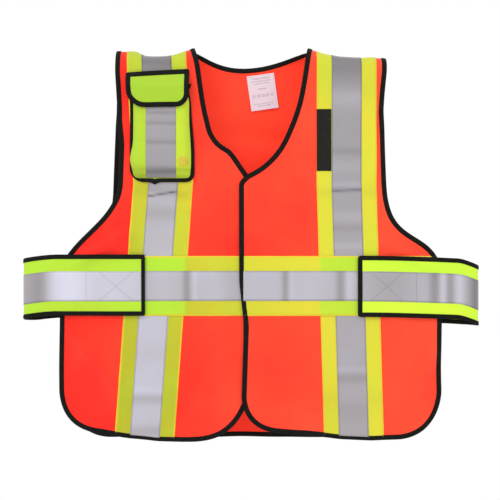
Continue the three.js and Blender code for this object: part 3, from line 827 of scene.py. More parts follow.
def frontLoop(cut):
    # The cut edge of a front, anticlockwise from the neck end of the shoulder lap.
    edge = cut["edge"]
    corner = bezier(edge[-1], *cut["corner"])
    handles = [(chestX - across, hemZ + up) for across, up in cut["rise"]]
    rise = bezier(cut["hem"][-1], *handles, (chestX - 0.001, hemZ + 0.082))
    neck = bezier((neckX, startAt(neckX) + archLength / 2), (0.091, -0.042), (0.083, -0.095),
        (0.071, -0.130))
    chest = [bezier(*cut["chest"][k:k + 4]) for k in range(0, len(cut["chest"]) - 1, 3)]
    parts = [[(neckX, lapEnd(neckX))], neck, *chest, edge, corner, cut["hem"], rise,
        *armholeLine(*cut["armhole"]), [(armX, lapEnd(armX))]]
    line = evenly(np.vstack([np.asarray(part, float) for part in parts]), 0.002, True)
    line = evenly(softened(line, 8), bindingLook["spacing"], True)
    u, v = line[:, 0], line[:, 1]
    depth, start = cut["armGather"]   # the armhole's edge is drawn in a little
    drawn = depth * smooth((-start - v) / 0.06) * (1 - smooth((-0.230 - v) / 0.05)) * (u > 0.15)
    upper, lower = cut["neckLean"]    # and the neckline leans inwards
    lean = upper * smooth((v + 0.16) / 0.12) * (1 - 0.8 * smooth((v + 0.035) / 0.035))
    drawn += (lean + lower * bump(v, -0.135, 0.030)) * (u < 0.12)
    drawn += cut["sideGather"] * bump(v, -0.545, 0.06) * (u > 0.3)
    return line - np.stack([drawn, 0 * drawn], 1)


def backLoop():
    # The cut edge of the back, anticlockwise from the middle of the hem.
    hem = hemZ - 0.0005
    corner = bezier((chestX - 0.084, hem), (chestX - 0.038, hem + 0.001), (chestX - 0.006, hem + 0.038),
        (chestX - 0.001, hem + 0.086))
    reach = garment["backReach"]
    drop = garment["backNeck"]
    neck = bezier((neckX, startAt(neckX) + reach), (neckX - 0.016, drop + 0.022), (neckX - 0.046, drop),
        (0, drop))
    parts = [[(0, hem)], corner, *armholeLine(), [(armX, startAt(armX) + reach)], neck]
    right = np.vstack([np.asarray(part, float) for part in parts])
    left = right[::-1] * (-1, 1)
    line = evenly(np.vstack([right, left[1:-1]]), 0.002, True)
    line = evenly(softened(line, 8), bindingLook["spacing"], True)
    strays = smooth((-0.015 - line[:, 1]) / 0.12) * (1 - smooth((-0.290 - line[:, 1]) / 0.08))
    # the right armhole hangs a little wide
    shift = np.where(line[:, 0] < -0.15, -0.0078 * strays, 0.0)
    lean = 0.08 * line[:, 0] * np.clip(1 - (line[:, 0] / neckX) ** 2, 0, 1) * (line[:, 1] > -0.06)
    return line + np.stack([shift, lean], 1)   # and the neck's edge leans a little


def makePanel(name, loop, corners, base, carry, columns, rows):
    # One body panel: the cloth, a little inside its binding, and the binding round it.
    u, v = patch(inset(loop, 0.0022), corners, columns, rows)
    cloth = sheetOf(name + "Cloth", u, v, base, garment["clothWall"], carry, knit)
    trim = bound(name + "Binding", loop, base + garment["clothWall"] / 2, garment["clothWall"],
        garment["bindingWidth"], carry, black)
    return cloth, trim


def seamInside(loop, distance, offset):
    line = inset(loop, distance)
    return (np.vstack([line, line[:1]]), offset)


loops = dict(back=backLoop(), right=frontLoop(frontCuts["right"]), left=frontLoop(frontCuts["left"]))
carries = dict(back=onBack, right=onRightFront, left=onFront)

shoulderBack = startAt(armX) + garment["backReach"]
backCloth, backBinding = makePanel("back", loops["back"], [(-chestX + 0.019, hemZ + 0.026),
    (chestX - 0.019, hemZ + 0.026), (armX, shoulderBack), (-armX, shoulderBack)], layers["backCloth"],
    onBack, 150, 170)
place(backCloth, "root", "vest_fabric", "back_panel")
place(backBinding, "root", "binding", "back_neck_binding", "back_armhole_binding_left",
    "back_armhole_binding_right", "back_hem_binding")

frontPieces = {}
for side, cut in frontCuts.items():
    corners = [cut["innerCorner"], outerCorner, (armX, lapEnd(armX)), (neckX, lapEnd(neckX))]
    cloth, trim = makePanel("front" + side.capitalize(), loops[side], corners, layers["frontCloth"],
        carries[side], 84, 200)
    bend(cloth, side, "vest_fabric", f"front_panel_{side}", f"fly_panel_{side}")
    bend(trim, side, "binding", f"front_binding_{side}", f"fly_binding_{side}")
    frontPieces[side] = [cloth, trim]
print("body panels made")


# tapes

def hemAt(side, u):
    # Height of a panel's cut edge below a point, from its outline.
    loop = loops[side]
    lower = loop[loop[:, 1] < hemZ + 0.05]
    order = np.argsort(lower[:, 0])
    return np.interp(u, lower[order, 0], lower[order, 1])


def ribbon(side, stations, wide, foot, top, columns, rows):
    # A strip of a given width whose centre passes x = stations at its heights, from just above the
    # cut edge at its foot to top.
    s = np.linspace(-0.5, 0.5, columns)[None, :]
    t = np.linspace(0, 1, rows)[:, None]
    heights, centres = stations
    guess = np.interp(hemZ + 0.006 + t * (top - hemZ), heights, centres)
    u = guess + s * wide
    v = (1 - t) * (hemAt(side, u) + foot) + t * top
    u = np.interp(v, heights, centres) + s * wide
    edge = (0.5 - np.abs(s)) * wide + 0 * t
    return u, v, edge


def bands(v, *marks):
    # Soft bands of painted shade and highlight across a strip: centre height, half width and strength of
    # each.
    total = np.zeros(np.shape(v))
    for centre, width, strength in marks:
        total += strength * bump(v, centre, width)
    return total


# the two kinds of tape, sewn one on the other
trims = dict(
    tape=dict(title="Tape", node="tape", slot="lime_tape", material=lime, thread=limeThread,
        wide=tapeWide, wall=0.0006, seam=0.0016, columns=27, bulge=0.0003, waistRows=23),
    silver=dict(title="Silver", node="reflective", slot="reflective_tape", material=silver,
        thread=greyThread, wide=silverWide, wall=0.0004, seam=0.0014, columns=17, bulge=0.0002,
        waistRows=13),
)
verticals = dict(foot=0.0062, frontRows=230, backRows=190, silverShort=0.012)
# Painted shade and highlight bands on the front silver strips, where the cloth creases: height, half
# width and strength.
silverShadeBands = dict(
    right=[(-0.285, 0.012, -0.10), (-0.600, 0.009, -0.16), (-0.585, 0.006, 0.06),
           (-0.655, 0.010, -0.16),
           (-0.030, 0.006, -0.10), (-0.520, 0.020, -0.05)],
    left=[(-0.092, 0.016, 0.10), (-0.180, 0.006, -0.10), (-0.565, 0.008, -0.12), (-0.550, 0.005, 0.07),
          (-0.245, 0.004, -0.14), (-0.236, 0.006, 0.08), (-0.205, 0.012, 0.06), (-0.290, 0.010, 0.07),
          (-0.310, 0.006, -0.08), (-0.340, 0.006, 0.08), (-0.620, 0.014, -0.06)],
)
silverShadeRamp = dict(   # painted shade, deepening up each strip: heights, and the tone at each
    right=([-0.67, -0.50, -0.42, -0.26, -0.20, -0.04, 0.05],
           [-0.02, 0.00, -0.02, -0.16, -0.36, -0.54, -0.58]),
    left=([-0.67, -0.50, -0.42, -0.26, -0.15, -0.08, -0.04, 0.05],
          [-0.24, -0.22, -0.22, -0.30, -0.34, -0.32, -0.54, -0.58]),
)
# painted shade and greenness of the lime by the shoulder
topShade = dict(right=(-0.17, 0.42), left=(-0.08, 0.10))
# Painted shade along the pucker lines of the front silver: height, tilt, half width and strength.
puckerShade = dict(right=[(-0.2515, -0.17, 0.0016, -0.55)], left=[(-0.246, 0.05, 0.0016, -0.25)])
backTapeX = (neckX + armX) / 2


def verticalRuns():
    # Each vertical tape's names, panel, mapping, line, upper end and number of rows.
    runs = []
    for side, cut in frontCuts.items():
        line = ([hemZ, garment["armholeZ"] + 0.012, 0.0], cut["tape"])
        top = lapEnd(cut["tape"][2]) - garment["bindingWidth"] - 0.001
        runs.append(dict(side=side, name=f"{side}Vertical", seams=side, node="front", panel=side,
            carry=carries[side], line=line, top=top, rows=verticals["frontRows"], short=0.0))
    for side, sign in (("left", 1), ("right", -1)):
        top = startAt(armX) - garment["lapBelow"] + garment["bindingWidth"] + 0.004
        name = "back" + side.capitalize()
        runs.append(dict(side=side, name=name, seams=name, node="back", panel="back", carry=onBack,
            line=([hemZ, 0.0], [sign * backTapeX] * 2), top=top, rows=verticals["backRows"],
            short=verticals["silverShort"]))
    return runs


def verticalShade(run, kind, u, v):
    # Painted shade (the tone) and greenness down a vertical tape: soft painted shade bands, painted
    # shade along pucker lines, and painted shade at the top.
    side = run["side"]
    if run["node"] == "back":
        return (bands(v, (-0.3, 0.02, -0.08), (-0.55, 0.03, -0.08)) if kind == "silver" else None), None
    if kind == "tape":
        shade, greenness = topShade[side]
        nearTop = smooth((v + 0.13) / 0.06)
        return bands(v, (-0.25, 0.01, -0.08), (-0.6, 0.02, -0.06)) + shade * nearTop, greenness * nearTop
    folds = sum(bands(v - tilt * (u - frontCuts[side]["tape"][1]), (height, width, strength))
        for height, tilt, width, strength in puckerShade[side])
    return bands(v, *silverShadeBands[side]) + folds + np.interp(v, *silverShadeRamp[side]), None


for run in verticalRuns():
    for kind, trim in trims.items():
        top = run["top"] - (run["short"] if kind == "silver" else 0.0)
        u, v, edge = ribbon(run["panel"], run["line"], trim["wide"], verticals["foot"], top,
            trim["columns"], run["rows"])
        tone, green = verticalShade(run, kind, u, v)
        band = sheetOf(run["name"] + trim["title"], u, v, layers[run["node"] + trim["title"]],
            trim["wall"], run["carry"], trim["material"], tone=tone, edge=edge, green=green,
            bulge=trim["bulge"])
        place(band, "root", trim["slot"], f"{run['node']}_vertical_{trim['node']}_{run['side']}")


def waistLayer(face, kind):
    return layers[face + ("Waist" if kind == "tape" else "WaistSilver")]


def overTape(u, centre):
    # Rise of a band where it crosses a vertical tape, over a few millimetres at each edge.
    return layers["overTape"] * smooth((tapeWide / 2 + 0.003 - np.abs(u - centre)) / 0.006)


# Painted shade and highlight bands on the front waist silver: position along, half width and strength.
waistShadeBands = dict(
    right=[(0.109, 0.007, -0.26), (0.096, 0.005, 0.08), (0.060, 0.030, 0.02), (0.150, 0.020, 0.04),
           (0.030, 0.02, -0.06)],
    left=[(0.058, 0.006, -0.26), (0.069, 0.005, 0.06), (0.152, 0.008, -0.26), (0.166, 0.008, 0.10),
          (0.10, 0.02, 0.04)],
)


def waistLine(side):
    # Where a front's waist tape starts, and the middle of the vertical tape that it crosses.
    start = (-0.0195 if side == "left" else -0.008) + garment["bindingWidth"]
    centre = np.interp(waistZ, [hemZ, garment["armholeZ"] + 0.012], frontCuts[side]["tape"][:2])
    return start, centre


for side, cut in frontCuts.items():
    start, centre = waistLine(side)
    inner, outer = start - 0.002, chestX - garment["bindingWidth"] - 0.0005
    armEdge = np.asarray(armholeLine(*cut["armhole"])[0])
    for kind, trim in trims.items():
        t = np.linspace(-0.5, 0.5, trim["waistRows"])[:, None] + np.zeros((1, 120))
        v = waistZ + t * trim["wide"]
        # the outer end is cut to the armhole
        ends = np.minimum(outer, np.interp(v[:, :1], armEdge[:, 1], armEdge[:, 0]) - 0.006)
        u = inner + (ends - inner) * np.linspace(0, 1, 120)
        # The waist silver's tone is painted shade: its bands and an overall darkening.
        tone = bands(u, *waistShadeBands[side]) - 0.10 if kind == "silver" else None
        raised = overTape(u, centre)
        band = sheetOf(f"{side}Waist{trim['title']}", u, v, waistLayer("front", kind) + raised,
            trim["wall"], carries[side], trim["material"], tone=tone,
            edge=(0.5 - np.abs(t)) * trim["wide"], green=0.8 * raised / layers["overTape"],
            bulge=0.0002)
        bend(band, side, trim["slot"], *(f"{part}_waist_{trim['node']}_{side}"
            for part in ("front", "fly")))


def edgeRows(u, v, offset, distance):
    # Two flat lines beside the long edges of a strip's grid, a distance in from each.
    share = distance / (u[:, -1] - u[:, 0])
    rows = []
    for part in (share, 1 - share):
        line = np.stack([u[:, 0] + part * (u[:, -1] - u[:, 0]), v[:, 0] + part * (v[:, -1] - v[:, 0])],
            1)
        rows.append((line, offset))
    return rows


bindingSeam = 0.0066
for run in verticalRuns():
    for kind, trim in trims.items():
        u, v, edge = ribbon(run["panel"], run["line"], trim["wide"], verticals["foot"],
            run["top"] - run["short"], 5, run["rows"])
        rows = edgeRows(u, v, layers[run["node"] + trim["title"]] + trim["wall"] + 0.0001, trim["seam"])
        seam = stitches(f"{run['seams']}{trim['title']}Stitches", rows, run["carry"], trim["thread"])
        place(seam, "root", trim["slot"])

# the waist tape's rows, and the row that holds each binding
for side in frontCuts:
    start, centre = waistLine(side)
    u = np.linspace(start + 0.001, chestX - garment["bindingWidth"] - 0.002, 120)
    for kind, trim in trims.items():
        height = trim["wide"] / 2 - trim["seam"]
        rows = [(np.stack([u, np.full(u.shape, waistZ + level * height)], 1),
            waistLayer("front", kind) + overTape(u, centre) + trim["wall"] + 0.0001)
            for level in (-1, 1)]
        seam = stitches(f"{side}Waist{trim['title']}Stitches", rows, carries[side], trim["thread"])
        bend(seam, side, trim["slot"])
    row = seamInside(loops[side], bindingSeam, layers["frontCloth"] + garment["clothWall"]
        + garment["bindingWall"] + 0.0001)
    bend(stitches(f"{side}BindingStitches", [row], carries[side], blackThread), side, "binding")
row = seamInside(loops["back"], bindingSeam, layers["backCloth"] + garment["clothWall"]
    + garment["bindingWall"] + 0.0001)
place(stitches("backBindingStitches", [row], onBack, blackThread), "root", "binding")
print("tapes made")


# side straps and tabs
strapLook = dict(
    seamX=0.312, endX=chestX - 0.1475, backOffset=0.0034, frontOffset=layers["tab"] + 0.0004,
    fabric=0.0008, silverWall=0.0004, height=0.104, droopLength=dict(left=0.190, right=0.060),
    # The left strap's lime is lightened by painted light.
    paintedLight=dict(left=0.26, right=0.0),
    green=dict(left=0.70, right=0.82),
    droop=dict(left=0.0065, right=0.0068), sag=dict(left=0.010, right=0.0062),
    sagStart=dict(left=-0.016, right=0.022), silverDrop=dict(left=0.0, right=0.0020),
    silverShade=dict(left=0.13, right=0.02), bindingWidth=0.0078,
    lift=dict(left=-0.0006, right=0.0014), endShift=dict(left=0.0015, right=-0.0015),
    crossFrom=0.024, crossTo=0.076, crossEdge=0.1005,
)


def droopAt(x, side):
    # How far the strap has sunk: zero inboard, rising with the square of the distance.
    length = strapLook["droopLength"][side]
    share = np.clip((x - turnX + length) / length, 0, None) ** 1.6
    return share * strapLook["droop"][side] - strapLook["lift"][side]


def strapPath():
    # The strap in plan, from the tab's end along the front, round the turn and onto the back.
    look = strapLook
    x = np.linspace(look["endX"], strapX, 90)
    front = np.stack([x, -depthAt(x) - look["frontOffset"]], 1)
    backY = depthAt(strapX) + look["backOffset"]
    centre, reach = (front[-1, 1] + backY) / 2, (backY - front[-1, 1]) / 2
    angle = np.linspace(-math.pi / 2, math.pi / 2, 40)[1:-1]
    turn = np.stack([strapX + (turnX - strapX) * np.cos(angle), centre + reach * np.sin(angle)], 1)
    x = np.linspace(strapX, look["seamX"], 30)
    back = np.stack([x, depthAt(x) + look["backOffset"]], 1)
    line = evenly(np.vstack([front, turn, back]), 0.001)
    return softened(line, 20, False)


strapLine = strapPath()
strapSteps = np.hypot(*np.diff(strapLine, axis=0).T)
strapAlong = np.concatenate([[0], np.cumsum(strapSteps)])
strapNormal = -inwards(strapLine, False)
strapLength = float(strapAlong[-1])
turnStart = float(np.interp(strapX, strapLine[:200, 0], strapAlong[:200]))


def strapCarry(side):
    # Carries (distance along the strap, height across it, offset) to the garment.
    sign = 1 if side == "left" else -1

    def carry(s, t, off):
        s, t, off = np.broadcast_arrays(np.asarray(s, float), t, off)
        s = s + strapLook["endShift"][side] * (1 - smooth(s / 0.12))
        x = np.interp(s, strapAlong, strapLine[:, 0])
        y = np.interp(s, strapAlong, strapLine[:, 1])
        nx = np.interp(s, strapAlong, strapNormal[:, 0])
        ny = np.interp(s, strapAlong, strapNormal[:, 1])
        front = 1 - smooth((s - turnStart + 0.02) / 0.02)
        back = smooth((s - turnStart - strapLook["sagStart"][side]) / 0.05)
        settle = 1 - smooth((x - 0.300) / 0.05)
        out = off + creases(sign * x, waistZ + t, np.where(y < 0, -1, 1)) * settle
        out = out + 0.0016 * front * np.sin(s * 62 + 1.1 * sign) * smooth((s - 0.03) / 0.05)
        z = waistZ + t - droopAt(x, side) - strapLook["sag"][side] * back
        return np.stack([sign * (x + nx * out), y + ny * out, z], -1)

    return carry


def strapEdge():
    # The bound edge: along the lower side, round the tab's end and back along the upper side.
    half = strapLook["height"] / 2
    corners = [(strapLength, half), (0, half), (0, -half), (strapLength, -half)]
    line = evenly(np.array(corners), 0.001)
    return evenly(softened(line, 16, False), 0.0035)


# Painted shade and highlight bands along each strap's silver: distance along, half width and strength.
tabShadeAndHighlight = dict(
    right=[(0.182, 0.018, -0.36), (0.128, 0.034, 0.22), (0.050, 0.04, 0.06), (0.212, 0.02, -0.20)],
    left=[(0.132, 0.009, -0.28), (0.160, 0.007, -0.24), (0.146, 0.006, 0.14), (0.176, 0.008, 0.12),
          (0.205, 0.014, -0.42), (0.060, 0.05, -0.12)],
)

def strapBody(piece, side, slot, *nodes):
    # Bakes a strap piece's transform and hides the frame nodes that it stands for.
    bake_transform(piece)
    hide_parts(*nodes)


def strapGrid(start, half, columns, rows):
    s = np.linspace(start, strapLength, columns)[None, :] + np.zeros((rows, 1))
    return s, np.linspace(-half, half, rows)[:, None] + 0 * s


def makeStrap(side):
    # One strap with its silver, its bound edge and its rows of stitches.
    look, carry = strapLook, strapCarry(side)
    s, t = strapGrid(0.0018, look["height"] / 2 - 0.0018, 170, 29)
    # The strap lime's tone is painted light on the left strap.
    strap = sheetOf(f"{side}Strap", s, t, -look["fabric"] / 2, look["fabric"], carry, lime,
        tone=look["paintedLight"][side], edge=0.01, green=look["green"][side])
    strapBody(strap, side, "lime_tape", f"tab_fabric_{side}", f"strap_fold_{side}")
    s, t = strapGrid(garment["bindingWidth"] - 0.001, silverWide / 2, 150, 15)
    drop = look["silverDrop"][side]
    # The strap silver's tone is painted shade and highlight, with an overall painted shade for each
    # side.
    strip = sheetOf(f"{side}StrapSilver", s, t - drop, look["fabric"] / 2 + 0.0002,
        look["silverWall"], carry, silver, tone=bands(s, *tabShadeAndHighlight[side]) - look["silverShade"][side],
        edge=silverWide / 2 - np.abs(t), bulge=0.0002)
    strapBody(strip, side, "reflective_tape", f"tab_reflective_{side}")
    edge = strapEdge()
    trim = bound(f"{side}StrapBinding", edge, 0.0, look["fabric"], look["bindingWidth"], carry, black,
        closed=False)
    strapBody(trim, side, "binding", f"tab_binding_{side}")

    # the cross over the tab's hook patch, a row across its far edge, and rows along the silver
    x0, x1, x2 = look["crossFrom"], look["crossTo"], look["crossEdge"]
    rise, along = silverWide / 2 - 0.003, silverWide / 2 - 0.0015
    top = look["fabric"] / 2 + 0.0006
    lines = [((x0, -rise), (x1, rise), 0.0001), ((x0, rise), (x1, -rise), 0.0001),
        ((x2, -rise), (x2, rise), 0.0001)]
    lines += [((0.012, level * along), (strapLength - 0.002, level * along), 0.0) for level in (-1, 1)]
    seams = [(evenly(np.array([start, end]) - (0, drop), 0.003), top + raised)
        for start, end, raised in lines]
    strapBody(stitches(f"{side}StrapStitches", seams, carry, greyThread), side, "lime_tape")
    row = (edge + inwards(edge, False) * 0.0068, look["fabric"] / 2 + garment["bindingWall"] + 0.0002)
    strapBody(stitches(f"{side}StrapEdgeStitches", [row], carry, blackThread), side, "binding")


for side in ("left", "right"):
    makeStrap(side)

# the waist tape across the back, from strap to strap
x = np.linspace(-strapLook["seamX"] - 0.016, strapLook["seamX"] + 0.016, 180)[None, :]
for kind, trim in trims.items():
    u = x + np.zeros((trim["waistRows"], 1))
    t = np.linspace(-0.5, 0.5, trim["waistRows"])[:, None] + 0 * u
    crossing = np.maximum(overTape(u, backTapeX), overTape(u, -backTapeX)) - layers["overTape"]
    crossing = crossing * (1 - smooth((np.abs(u) - 0.27) / 0.03))
    sink = np.where(u > 0, droopAt(np.abs(u), "left"), droopAt(np.abs(u), "right"))
    lift = 0.0012 * smooth((np.abs(u) - 0.29) / 0.015)
    # Painted shade bands on the back waist silver.
    tone = bands(u, (0.05, 0.02, -0.08), (-0.12, 0.02, -0.08)) if kind == "silver" else None
    band = sheetOf("backWaist" + trim["title"], u, waistZ + t * trim["wide"] - sink,
        waistLayer("back", kind) + crossing + lift, trim["wall"], onBack, trim["material"], tone=tone,
        edge=(0.5 - np.abs(t)) * trim["wide"], bulge=0.0002)
    place(band, "root", trim["slot"], f"back_waist_{trim['node']}")
print("straps made")


# hook and loop patches between the layers

def padOf(name, u0, u1, v0, v1, base, carry, material, body, *nodes, wall=0.0006, slope=None):
    # A small pile patch: a sheet on a fine grid with a softly rounded edge.
    columns = max(6, int((u1 - u0) / 0.004))
    rows = max(6, int(abs(v1 - v0) / 0.004))
    u, v = np.meshgrid(np.linspace(u0, u1, columns), np.linspace(v0, v1, rows))
    if slope is not None:
        v = v + slope(u)
    pad = sheetOf(name, u, v, base, wall, carry, material, bulge=0.0002)
    return place(pad, body, "hook_and_loop", *nodes)


trimIn = garment["bindingWidth"] + 0.005
for side, sign in (("left", 1), ("right", -1)):
    foot = -garment["lapBelow"] + garment["bindingWidth"] + 0.004
    top = garment["backReach"] - garment["bindingWidth"] - 0.002
    padOf(f"{side}ShoulderLoop", sign * (neckX + trimIn), sign * (armX - trimIn), foot, top,
        layers["backTape"], onBack, pile, "root", f"shoulder_loop_patch_{side}", slope=startAt)
    padOf(f"{side}ShoulderHook", neckX + trimIn, armX - trimIn, archLength - top, archLength - foot,
        layers["lapHook"], carries[side], hooks, "root", f"shoulder_hook_patch_{side}", slope=startAt)
    patchX = strapLook["endX"] + 0.016
    padOf(f"{side}WaistLoop", patchX, patchX + 0.060, waistZ - 0.038, waistZ + 0.038,
        layers["waistLoop"], carries[side], pile, "root", f"waist_loop_patch_{side}")
    padOf(f"{side}TabHook", 0.016, 0.076, -0.038, 0.038, -0.0013, strapCarry(side), hooks,
        f"tab_{side}", f"tab_hook_patch_{side}")
    for part in ("upper", "lower"):
        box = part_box(f"{part}_closure_{side}")
        edges = sorted((sign * box[0].x, sign * box[1].x))
        padOf(f"{side}{part.capitalize()}Closure", edges[0], edges[1], box[0].z, box[1].z,
            layers["closureLeft"] if side == "left" else layers["closureRight"], carries[side],
            hooks if side == "left" else pile, f"fly_{side}", f"{part}_closure_{side}")
print("hook and loop patches made")


# radio pocket
pocket = dict(
    centre=0.152, width=0.107, top=-0.066, bottom=-0.2322, depth=0.0132, wall=0.0010, corner=0.024,
    flapCentre=0.1585, flapWidth=0.108, flapTop=-0.043, flapBottom=-0.1065, flapSlant=0.003,
    flapTaper=0.006,
    flapWall=0.0008, knee=0.030, kneeDrop=0.0159, discU=0.1145, discV=-0.1975, discRadius=0.0090,
    skew=0.0030, overhang=0.0026,
)


def roundedLoop(u0, u1, v0, v1, radii, spacing=0.0025):
    # An anticlockwise rectangle with its own radius at each corner, from the lower left one.
    corners = np.array([(u0, v0), (u1, v0), (u1, v1), (u0, v1)], float)
    parts = []
    for k, radius in enumerate(radii):
        corner, before, after = corners[k], corners[k - 1], corners[(k + 1) % 4]
        into = (before - corner) / np.hypot(*(before - corner))
        away = (after - corner) / np.hypot(*(after - corner))
        start, end = corner + into * radius, corner + away * radius
        parts.append(bezier(start, start - into * radius * 0.55, end - away * radius * 0.55, end, 12))
    return evenly(np.vstack(parts), spacing, True)


def pouchRise(u, v):
    # Height of the filled pouch: steep near its bound sides and foot, nearly level in the middle,
    # with soft creases across it and a deeper one over the foot.
    look = pocket
    spill = look["overhang"] * 2 * bump(v, -0.193, 0.020) * (u > look["centre"])
    spill = spill + look["skew"] * smooth((-0.12 - v) / 0.07) * (u < look["centre"])
    fromSide = look["width"] / 2 - garment["bindingWidth"] * 0.6 - np.abs(u - look["centre"]) + spill
    fromFoot = v - look["bottom"] - garment["bindingWidth"] * 0.6
    fromSide, fromFoot = np.clip(fromSide, 0, 1), np.clip(fromFoot, 0, 1)
    rise = look["depth"] * np.tanh(fromSide / 0.009) * np.tanh(fromFoot / 0.013)
    for height, width, strength in ((-0.116, 0.004, 0.0007), (-0.134, 0.004, 0.0009),
            (-0.166, 0.005, 0.0009), (-0.212, 0.0045, 0.0026)):
        tilt = 0.06 * (u - look["centre"])
        rise = rise - strength * bump(v, height + tilt, width) * np.tanh(fromSide / 0.008)
    return rise


def makePocket():
    look = pocket
    u0, u1 = look["centre"] - look["width"] / 2, look["centre"] + look["width"] / 2
    outline = roundedLoop(u0, u1, look["bottom"], look["top"], [look["corner"] * 0.6, look["corner"],
        0.001, 0.001])
    lower = smooth((-0.10 - outline[:, 1]) / 0.09)
    upper = smooth((outline[:, 1] + 0.105) / 0.035)
    outline[:, 0] += np.where(outline[:, 0] < look["centre"], 0.0026 - (look["skew"] + 0.0026) * lower
        + 0.0042 * upper, -0.0006 * bump(outline[:, 1], -0.125, 0.035))
    outline[:, 1] -= 0.0042 * bump(outline[:, 0], 0.163, 0.005) * (outline[:, 1] < -0.2)
    inner = inset(outline, 0.003)
    inner[:, 0] += look["overhang"] * bump(inner[:, 1], -0.193, 0.020) * (inner[:, 0] > look["centre"])
    corners = [(u0 + 0.009, look["bottom"] + 0.009), (u1 - 0.009, look["bottom"] + 0.009),
        (u1, look["top"]), (u0, look["top"])]
    u, v = patch(inner, corners, 56, 80)
    base = layers["pouch"] + 0.0006
    rise = pouchRise(u, v)
    # The pouch's tone is painted shade: a dark gutter and band over its foot crease, and darker towards
    # its outer side.
    gutterShade = bump(v, -0.222, 0.006) * -0.25
    body = sheetOf("pouchBody", u, v, base + rise, look["wall"], onRightFront, lime, tone=gutterShade
        + bands(v, (-0.212, 0.004, -0.2)) - 0.11 * smooth((u - look["centre"] - 0.01) / 0.02),
        edge=np.full(u.shape, 0.01), green=np.full(u.shape, 0.62))
    place(body, "root", "lime_tape", "radio_pouch")
    u = look["centre"] + np.linspace(-silverWide / 2, silverWide / 2, 24)[None, :] + np.zeros((74, 1))
    foot = look["bottom"] + garment["bindingWidth"] - 0.001
    v = np.linspace(foot, look["top"] - 0.001, 74)[:, None] + 0 * u
    # The pouch silver's tone is painted shade: dark bands at its creases and an overall darkening.
    strip = sheetOf("pouchSilver", u, v, base + pouchRise(u, v) + look["wall"] + 0.0001, 0.0004,
        onRightFront, silver, tone=bands(v, (-0.116, 0.003, -0.12), (-0.134, 0.003, -0.14),
        (-0.166, 0.004, -0.14), (-0.215, 0.006, -0.34)) - 0.32, edge=silverWide / 2
        - np.abs(u - look["centre"]), bulge=0.0001)
    place(strip, "root", "reflective_tape", "pouch_reflective")
    ring = np.linspace(0, 2 * math.pi, 48, endpoint=False)[:, None]
    reach = np.linspace(0.02, 1, 9)[None, :]
    discU = look["discU"] + look["discRadius"] * reach * np.cos(ring)
    discV = look["discV"] + look["discRadius"] * reach * np.sin(ring)
    crown = 0.0007 * np.sqrt(1 - 0.98 * reach ** 2) + 0 * ring
    face = base + pouchRise(discU, discV) + look["wall"]
    outer = onRightFront(discU, discV, face + crown).reshape(-1, 3)
    bed = onRightFront(discU, discV, face - 0.0003).reshape(-1, 3)
    count = len(outer)
    first, last = np.arange(48) * 9, np.arange(48) * 9 + 8
    rim = np.stack([last, np.roll(last, -1), np.roll(last, -1) + count, last + count], 1)
    eye = np.stack([np.roll(first, -1), first, first + count, np.roll(first, -1) + count], 1)
    faces = [np.concatenate([gridFaces(48, 9, 0, True)[:, ::-1], gridFaces(48, 9, count, True), rim,
        eye])]
    place(keep("pouchDot", np.concatenate([outer, bed]), faces, amber), "root", "lime_tape")
    path = np.vstack([[(u0, look["top"])], outline[outline[:, 1] < look["top"] - 0.004],
        [(u1, look["top"])]])
    angle = np.arctan2(path[:, 1] - look["top"] + 1e-6, path[:, 0] - look["centre"])
    order = np.argsort(angle % (2 * math.pi))
    path = evenly(softened(evenly(path[order], 0.001), 6, False), 0.003)
    trim = bound("pouchBinding", path, layers["pouch"] + 0.0015, look["wall"], garment["bindingWidth"],
        onRightFront, black, closed=False)
    place(trim, "root", "binding", "pouch_binding")
    seam = stitches("pouchStitches", [(path + inwards(path, False) * 0.0066, layers["pouch"] + 0.0032)],
        onRightFront, blackThread)
    place(seam, "root", "binding")

    # the flap, sewn down along its top edge and lying over the pouch below its knee
    f0, f1 = look["flapCentre"] - look["flapWidth"] / 2, look["flapCentre"] + look["flapWidth"] / 2
    flap = roundedLoop(f0, f1, look["flapBottom"], look["flapTop"], [0.022, 0.028, 0.003, 0.003])
    fallen = (look["flapTop"] - flap[:, 1]) / (look["flapTop"] - look["flapBottom"])
    flap[:, 1] += look["flapSlant"] * np.interp(flap[:, 0], [f0, f1], [1, -1]) * (1 - 0.75 * fallen)
    flap[:, 0] -= look["flapTaper"] * fallen ** 2 * smooth((flap[:, 0] - look["flapCentre"]) / 0.02)

    def flapCarry(u, v, off):
        # The flap leans in to the vest above its knee and bows out a little in the middle.
        drop = look["kneeDrop"] * smooth((v - (look["flapTop"] - look["knee"])) / look["knee"])
        across = (u - look["flapCentre"]) / look["flapWidth"] * 2
        return onRightFront(u, v, off - drop + 0.0016 * (1 - across ** 2) - 0.0010 * across ** 2)

    u, v = patch(inset(flap, 0.0022), [(f0, look["flapBottom"]), (f1 - 0.010, look["flapBottom"]
        + 0.004), (f1, look["flapTop"]), (f0, look["flapTop"])], 52, 34)
